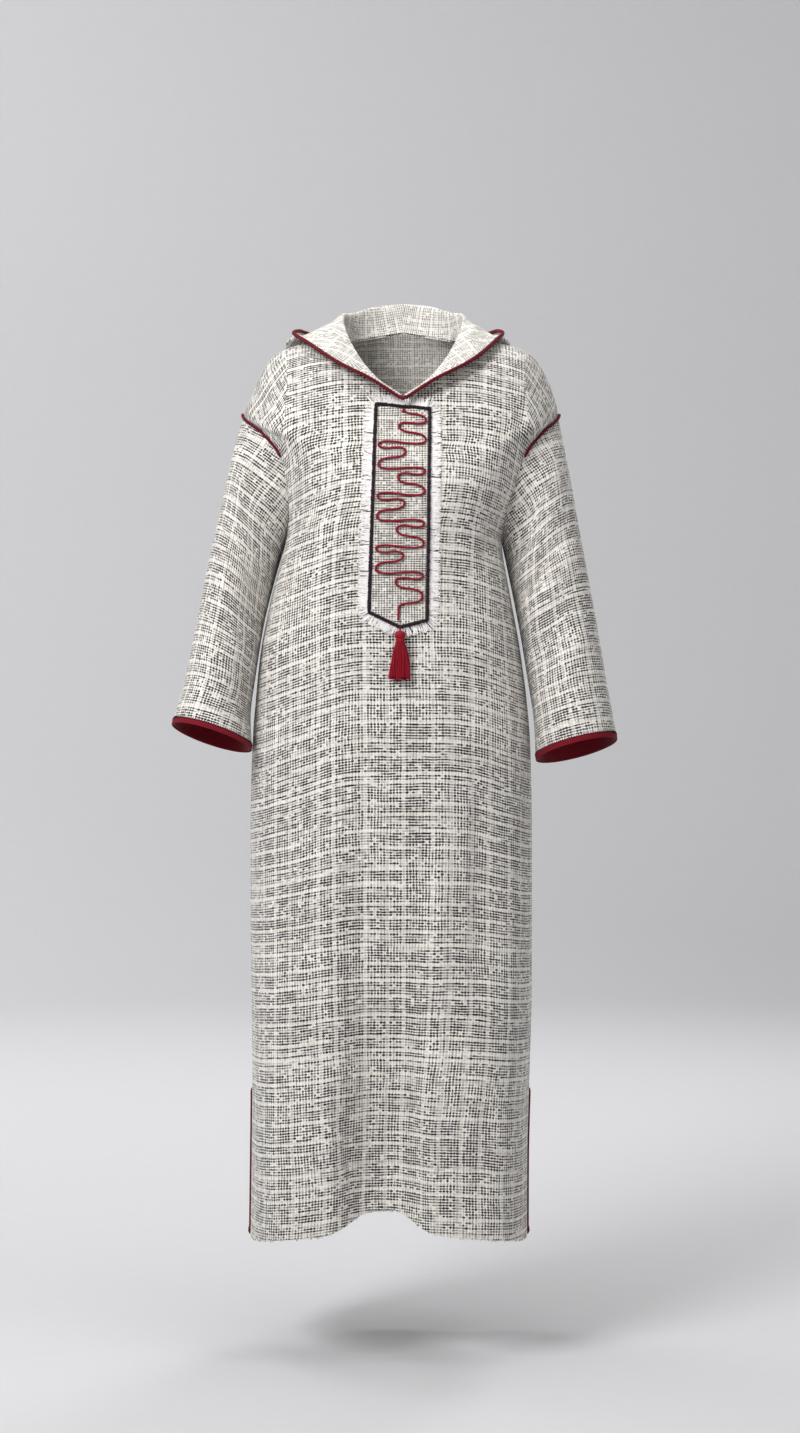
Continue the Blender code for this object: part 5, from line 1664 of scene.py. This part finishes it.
class ROBE_OT_tassel(bpy.types.Operator):
    """Build the tassel under the placket"""

    bl_idname = "robe.tassel"
    bl_label = "Tassel"

    def execute(self, context):
        trims = context.scene.robe_trims
        foot, normal = over_front(TASSEL_MIDDLE, TASSEL_TOP - 0.02, 0.0)
        centre = foot + normal * TASSEL_STAND_OFF
        centre[2] = TASSEL_TOP
        yarn = corded("tassel yarn", trims.rose)
        parts = [self.head(centre), self.binding(centre), self.skirt(centre, trims.tassel)]
        settle(build("chest_tassel", *joined(parts), [yarn]), ["tassel"])
        return {"FINISHED"}

    def head(self, centre):
        """A wound ball: a profile of radii down the axis, with 14 soft ridges round it, a little
        flattened towards the cloth."""
        down = np.array([-0.004, 0.0, 0.0010, 0.0028, 0.0058, 0.0088, 0.0110, 0.0124, 0.0132])
        radius = np.array([0.0012, 0.0015, 0.0044, 0.0066, 0.0076, 0.0070, 0.0056, 0.0049, 0.0049])
        at = np.linspace(0, len(down) - 1, 44)
        path = centre + np.stack([0 * at, 0 * at, -through(down, at)], axis=1)
        guide = np.tile([0.0, -1.0, 0.0], (len(at), 1))
        return tubes(
            path[None], guide[None], through(radius, at), 56, lobes=14, lobe_depth=0.03,
            twist=0.07, grow=0.84,
        )

    def binding(self, centre):
        """Six turns of yarn round the neck: a helix of radius 5.6 to 6 mm, flattened."""
        turns, top, pitch, radius, thick = 6, 0.0112, 0.00075, 0.0056, 0.0006
        turn = np.linspace(0, turns, turns * 26)
        angle = 2 * np.pi * turn
        spread = radius + 0.0004 * np.sin(np.pi * turn / turns)
        deep = spread * TASSEL_FLATNESS
        path = centre + np.stack([spread * np.cos(angle), deep * np.sin(angle), -top - pitch * turn], 1)
        guide = np.stack([np.cos(angle), np.sin(angle), 0 * angle], axis=1)
        return tubes(path[None], guide[None], thick, 6)

    def skirt(self, centre, length):
        """Yarns that leave the neck on a spiral of even area and swell like a bell as they fall:
        radius r0 + (r1 - r0) (0.72 (1 - (1 - s)^2.2) + 0.28 s), flattened towards the cloth; they
        hang in five locks, each drawn a little to its own middle."""
        random = np.random.default_rng(31)
        count = SKIRT_YARNS
        i = np.arange(count)
        angle = i * GOLDEN_ANGLE + random.normal(0, 0.05, count)
        angle = angle + 0.10 * np.sin(5 * angle)
        far = np.sqrt((i + 0.5) / count)
        s = np.linspace(0, 1, 9)
        neck, rim_x, rim_y, yarn = 0.0052, 0.0150, 0.0078, 0.00064
        bell = 0.72 * (1 - (1 - s) ** 2.2) + 0.28 * s
        wide = neck + (rim_x - neck) * bell
        deep = neck * TASSEL_FLATNESS + (rim_y - neck * TASSEL_FLATNESS) * bell
        sway = random.normal(0, 0.0007, (count, 1)) * np.sin(np.pi * s * 1.3)
        x = far[:, None] * np.cos(angle)[:, None] * wide + sway
        y = far[:, None] * np.sin(angle)[:, None] * deep
        y = np.clip(y, -0.02, TASSEL_STAND_OFF - 0.0022)
        lock = 0.0022 * np.sin(5 * angle + 0.6)[:, None] * s**2
        fall = (length - TASSEL_NECK - lock) * random.uniform(0.955, 1.0, count)[:, None] * s
        path = centre + np.stack([x, y, -TASSEL_NECK - fall], axis=-1)
        guide = np.broadcast_to([0.0, -1.0, 0.0], path.shape)
        radius = np.full((count, len(s)), yarn) * (0.85 + 0.30 * s)
        return tubes(path, guide, radius, 4)


class ROBE_OT_stage(bpy.types.Operator):
    """Set the backdrop, the lights and the camera"""

    bl_idname = "robe.stage"
    bl_label = "Stage"

    def execute(self, context):
        setting = context.scene.robe_stage
        self.sweep(setting)
        for name, (place, aim, size, power, share) in LIGHTS.items():
            self.light(name, place, aim, size, getattr(setting, power) * share)
        self.sky(setting.sky)
        self.camera()
        context.scene.view_settings.view_transform = "Standard"
        return {"FINISHED"}

    def sweep(self, setting):
        """Floor and wall in one, all round the robe: a disc, a quarter circle and an upright
        line, turned about the upright axis."""
        level, radius, top, around = 4.4, 2.6, 6.0, 96
        angle = np.linspace(0, np.pi / 2, 24)
        out = np.concatenate([[0.6, 1.5, 3.0], level + radius * np.sin(angle), [level + radius]])
        up = np.concatenate([[0, 0, 0], radius - radius * np.cos(angle), [top]]) + FLOOR
        out, up = out[:, None], up[:, None]
        turn = 2 * np.pi * np.arange(around) / around
        points = np.stack([out * np.cos(turn), out * np.sin(turn), up + 0 * turn], axis=-1)
        faces, _ = net(len(out), around, ring=True)
        ends = np.arange(2, around - 1, 2)
        faces = np.concatenate([faces, np.stack([0 * ends, ends - 1, ends, ends + 1], axis=1)])
        material, w, shader = new_material("backdrop paper", 0.95)
        position = w.node("ShaderNodeTexCoord").outputs["Object"]
        grain, _ = w.noise(position, 40.0, 3.0, flat=False)
        colour = tuple(c * 0.97 for c in setting.backdrop[:3]) + (1,)
        w.put(shader.inputs["Base Color"], w.mix(grain, colour, tuple(setting.backdrop)))
        points = points.reshape(-1, 3)
        sweep = build("studio_sweep", points, faces, points[:, :2], faces, [material])
        if sweep.data.polygons[0].normal.z < 0:
            sweep.data.flip_normals()

    def light(self, name, place, aim, size, power):
        """A round light that the camera doesn't see, turned to what it points at."""
        data = bpy.data.lights.new(name, "AREA")
        data.shape = "DISK"
        data.size = size
        data.energy = power
        lamp = bpy.data.objects.new(name, data)
        lamp.location = place
        lamp.visible_camera = False
        direction = np.array(aim, float) - np.array(place, float)
        across, down = math.hypot(direction[0], direction[1]), -direction[2]
        turn = math.atan2(direction[1], direction[0])
        lamp.rotation_euler = (math.atan2(across, down), 0, turn - math.pi / 2)
        bpy.context.scene.collection.objects.link(lamp)

    def sky(self, strength):
        """Even light all round."""
        world = bpy.data.worlds.new("even light")
        world.use_nodes = True
        shade = world.node_tree.nodes["Background"]
        shade.inputs["Color"].default_value = (1.0, 0.99, 0.97, 1)
        shade.inputs["Strength"].default_value = strength
        bpy.context.scene.world = world

    def camera(self):
        """The photograph's view, level and square to the robe's front."""
        data = bpy.data.cameras.new("photograph's view")
        data.lens = CAMERA_LENS
        data.sensor_width = 36
        camera = bpy.data.objects.new("camera", data)
        camera.location = CAMERA
        camera.rotation_euler = (math.radians(90), 0, 0)
        bpy.context.scene.collection.objects.link(camera)
        bpy.context.scene.camera = camera


class ROBE_PT_panel(bpy.types.Panel):
    """Sizes, colours and pieces of the robe."""

    bl_idname = "ROBE_PT_panel"
    bl_label = "Robe"
    bl_space_type = "VIEW_3D"
    bl_region_type = "UI"
    bl_category = "Robe"

    def draw(self, context):
        for group in (context.scene.robe_cloth, context.scene.robe_trims, context.scene.robe_stage):
            box = self.layout.box()
            for key in group.bl_rna.properties.keys():
                if key not in ("rna_type", "name"):
                    box.prop(group, key)
        for operator in OPERATORS:
            self.layout.operator(operator.bl_idname)


GROUPS = (
    ("robe_cloth", ROBE_PG_cloth),
    ("robe_trims", ROBE_PG_trims),
    ("robe_stage", ROBE_PG_stage),
)
OPERATORS = (
    ROBE_OT_body,
    ROBE_OT_sleeves,
    ROBE_OT_hood,
    ROBE_OT_seam_cords,
    ROBE_OT_placket,
    ROBE_OT_tassel,
    ROBE_OT_stage,
)


def register():
    for name, group in GROUPS:
        bpy.utils.register_class(group)
        setattr(bpy.types.Scene, name, bpy.props.PointerProperty(type=group))
    for operator in OPERATORS:
        bpy.utils.register_class(operator)
    bpy.utils.register_class(ROBE_PT_panel)


def unregister():
    bpy.utils.unregister_class(ROBE_PT_panel)
    for operator in reversed(OPERATORS):
        bpy.utils.unregister_class(operator)
    for name, group in reversed(GROUPS):
        delattr(bpy.types.Scene, name)
        bpy.utils.unregister_class(group)


def main():
    """Builds every piece."""
    register()
    bpy.ops.robe.body()
    bpy.ops.robe.sleeves()
    bpy.ops.robe.hood()
    bpy.ops.robe.seam_cords()
    bpy.ops.robe.placket()
    bpy.ops.robe.tassel()
    bpy.ops.robe.stage()
    bpy.context.view_layer.update()


if __name__ == "__main__":
    main()
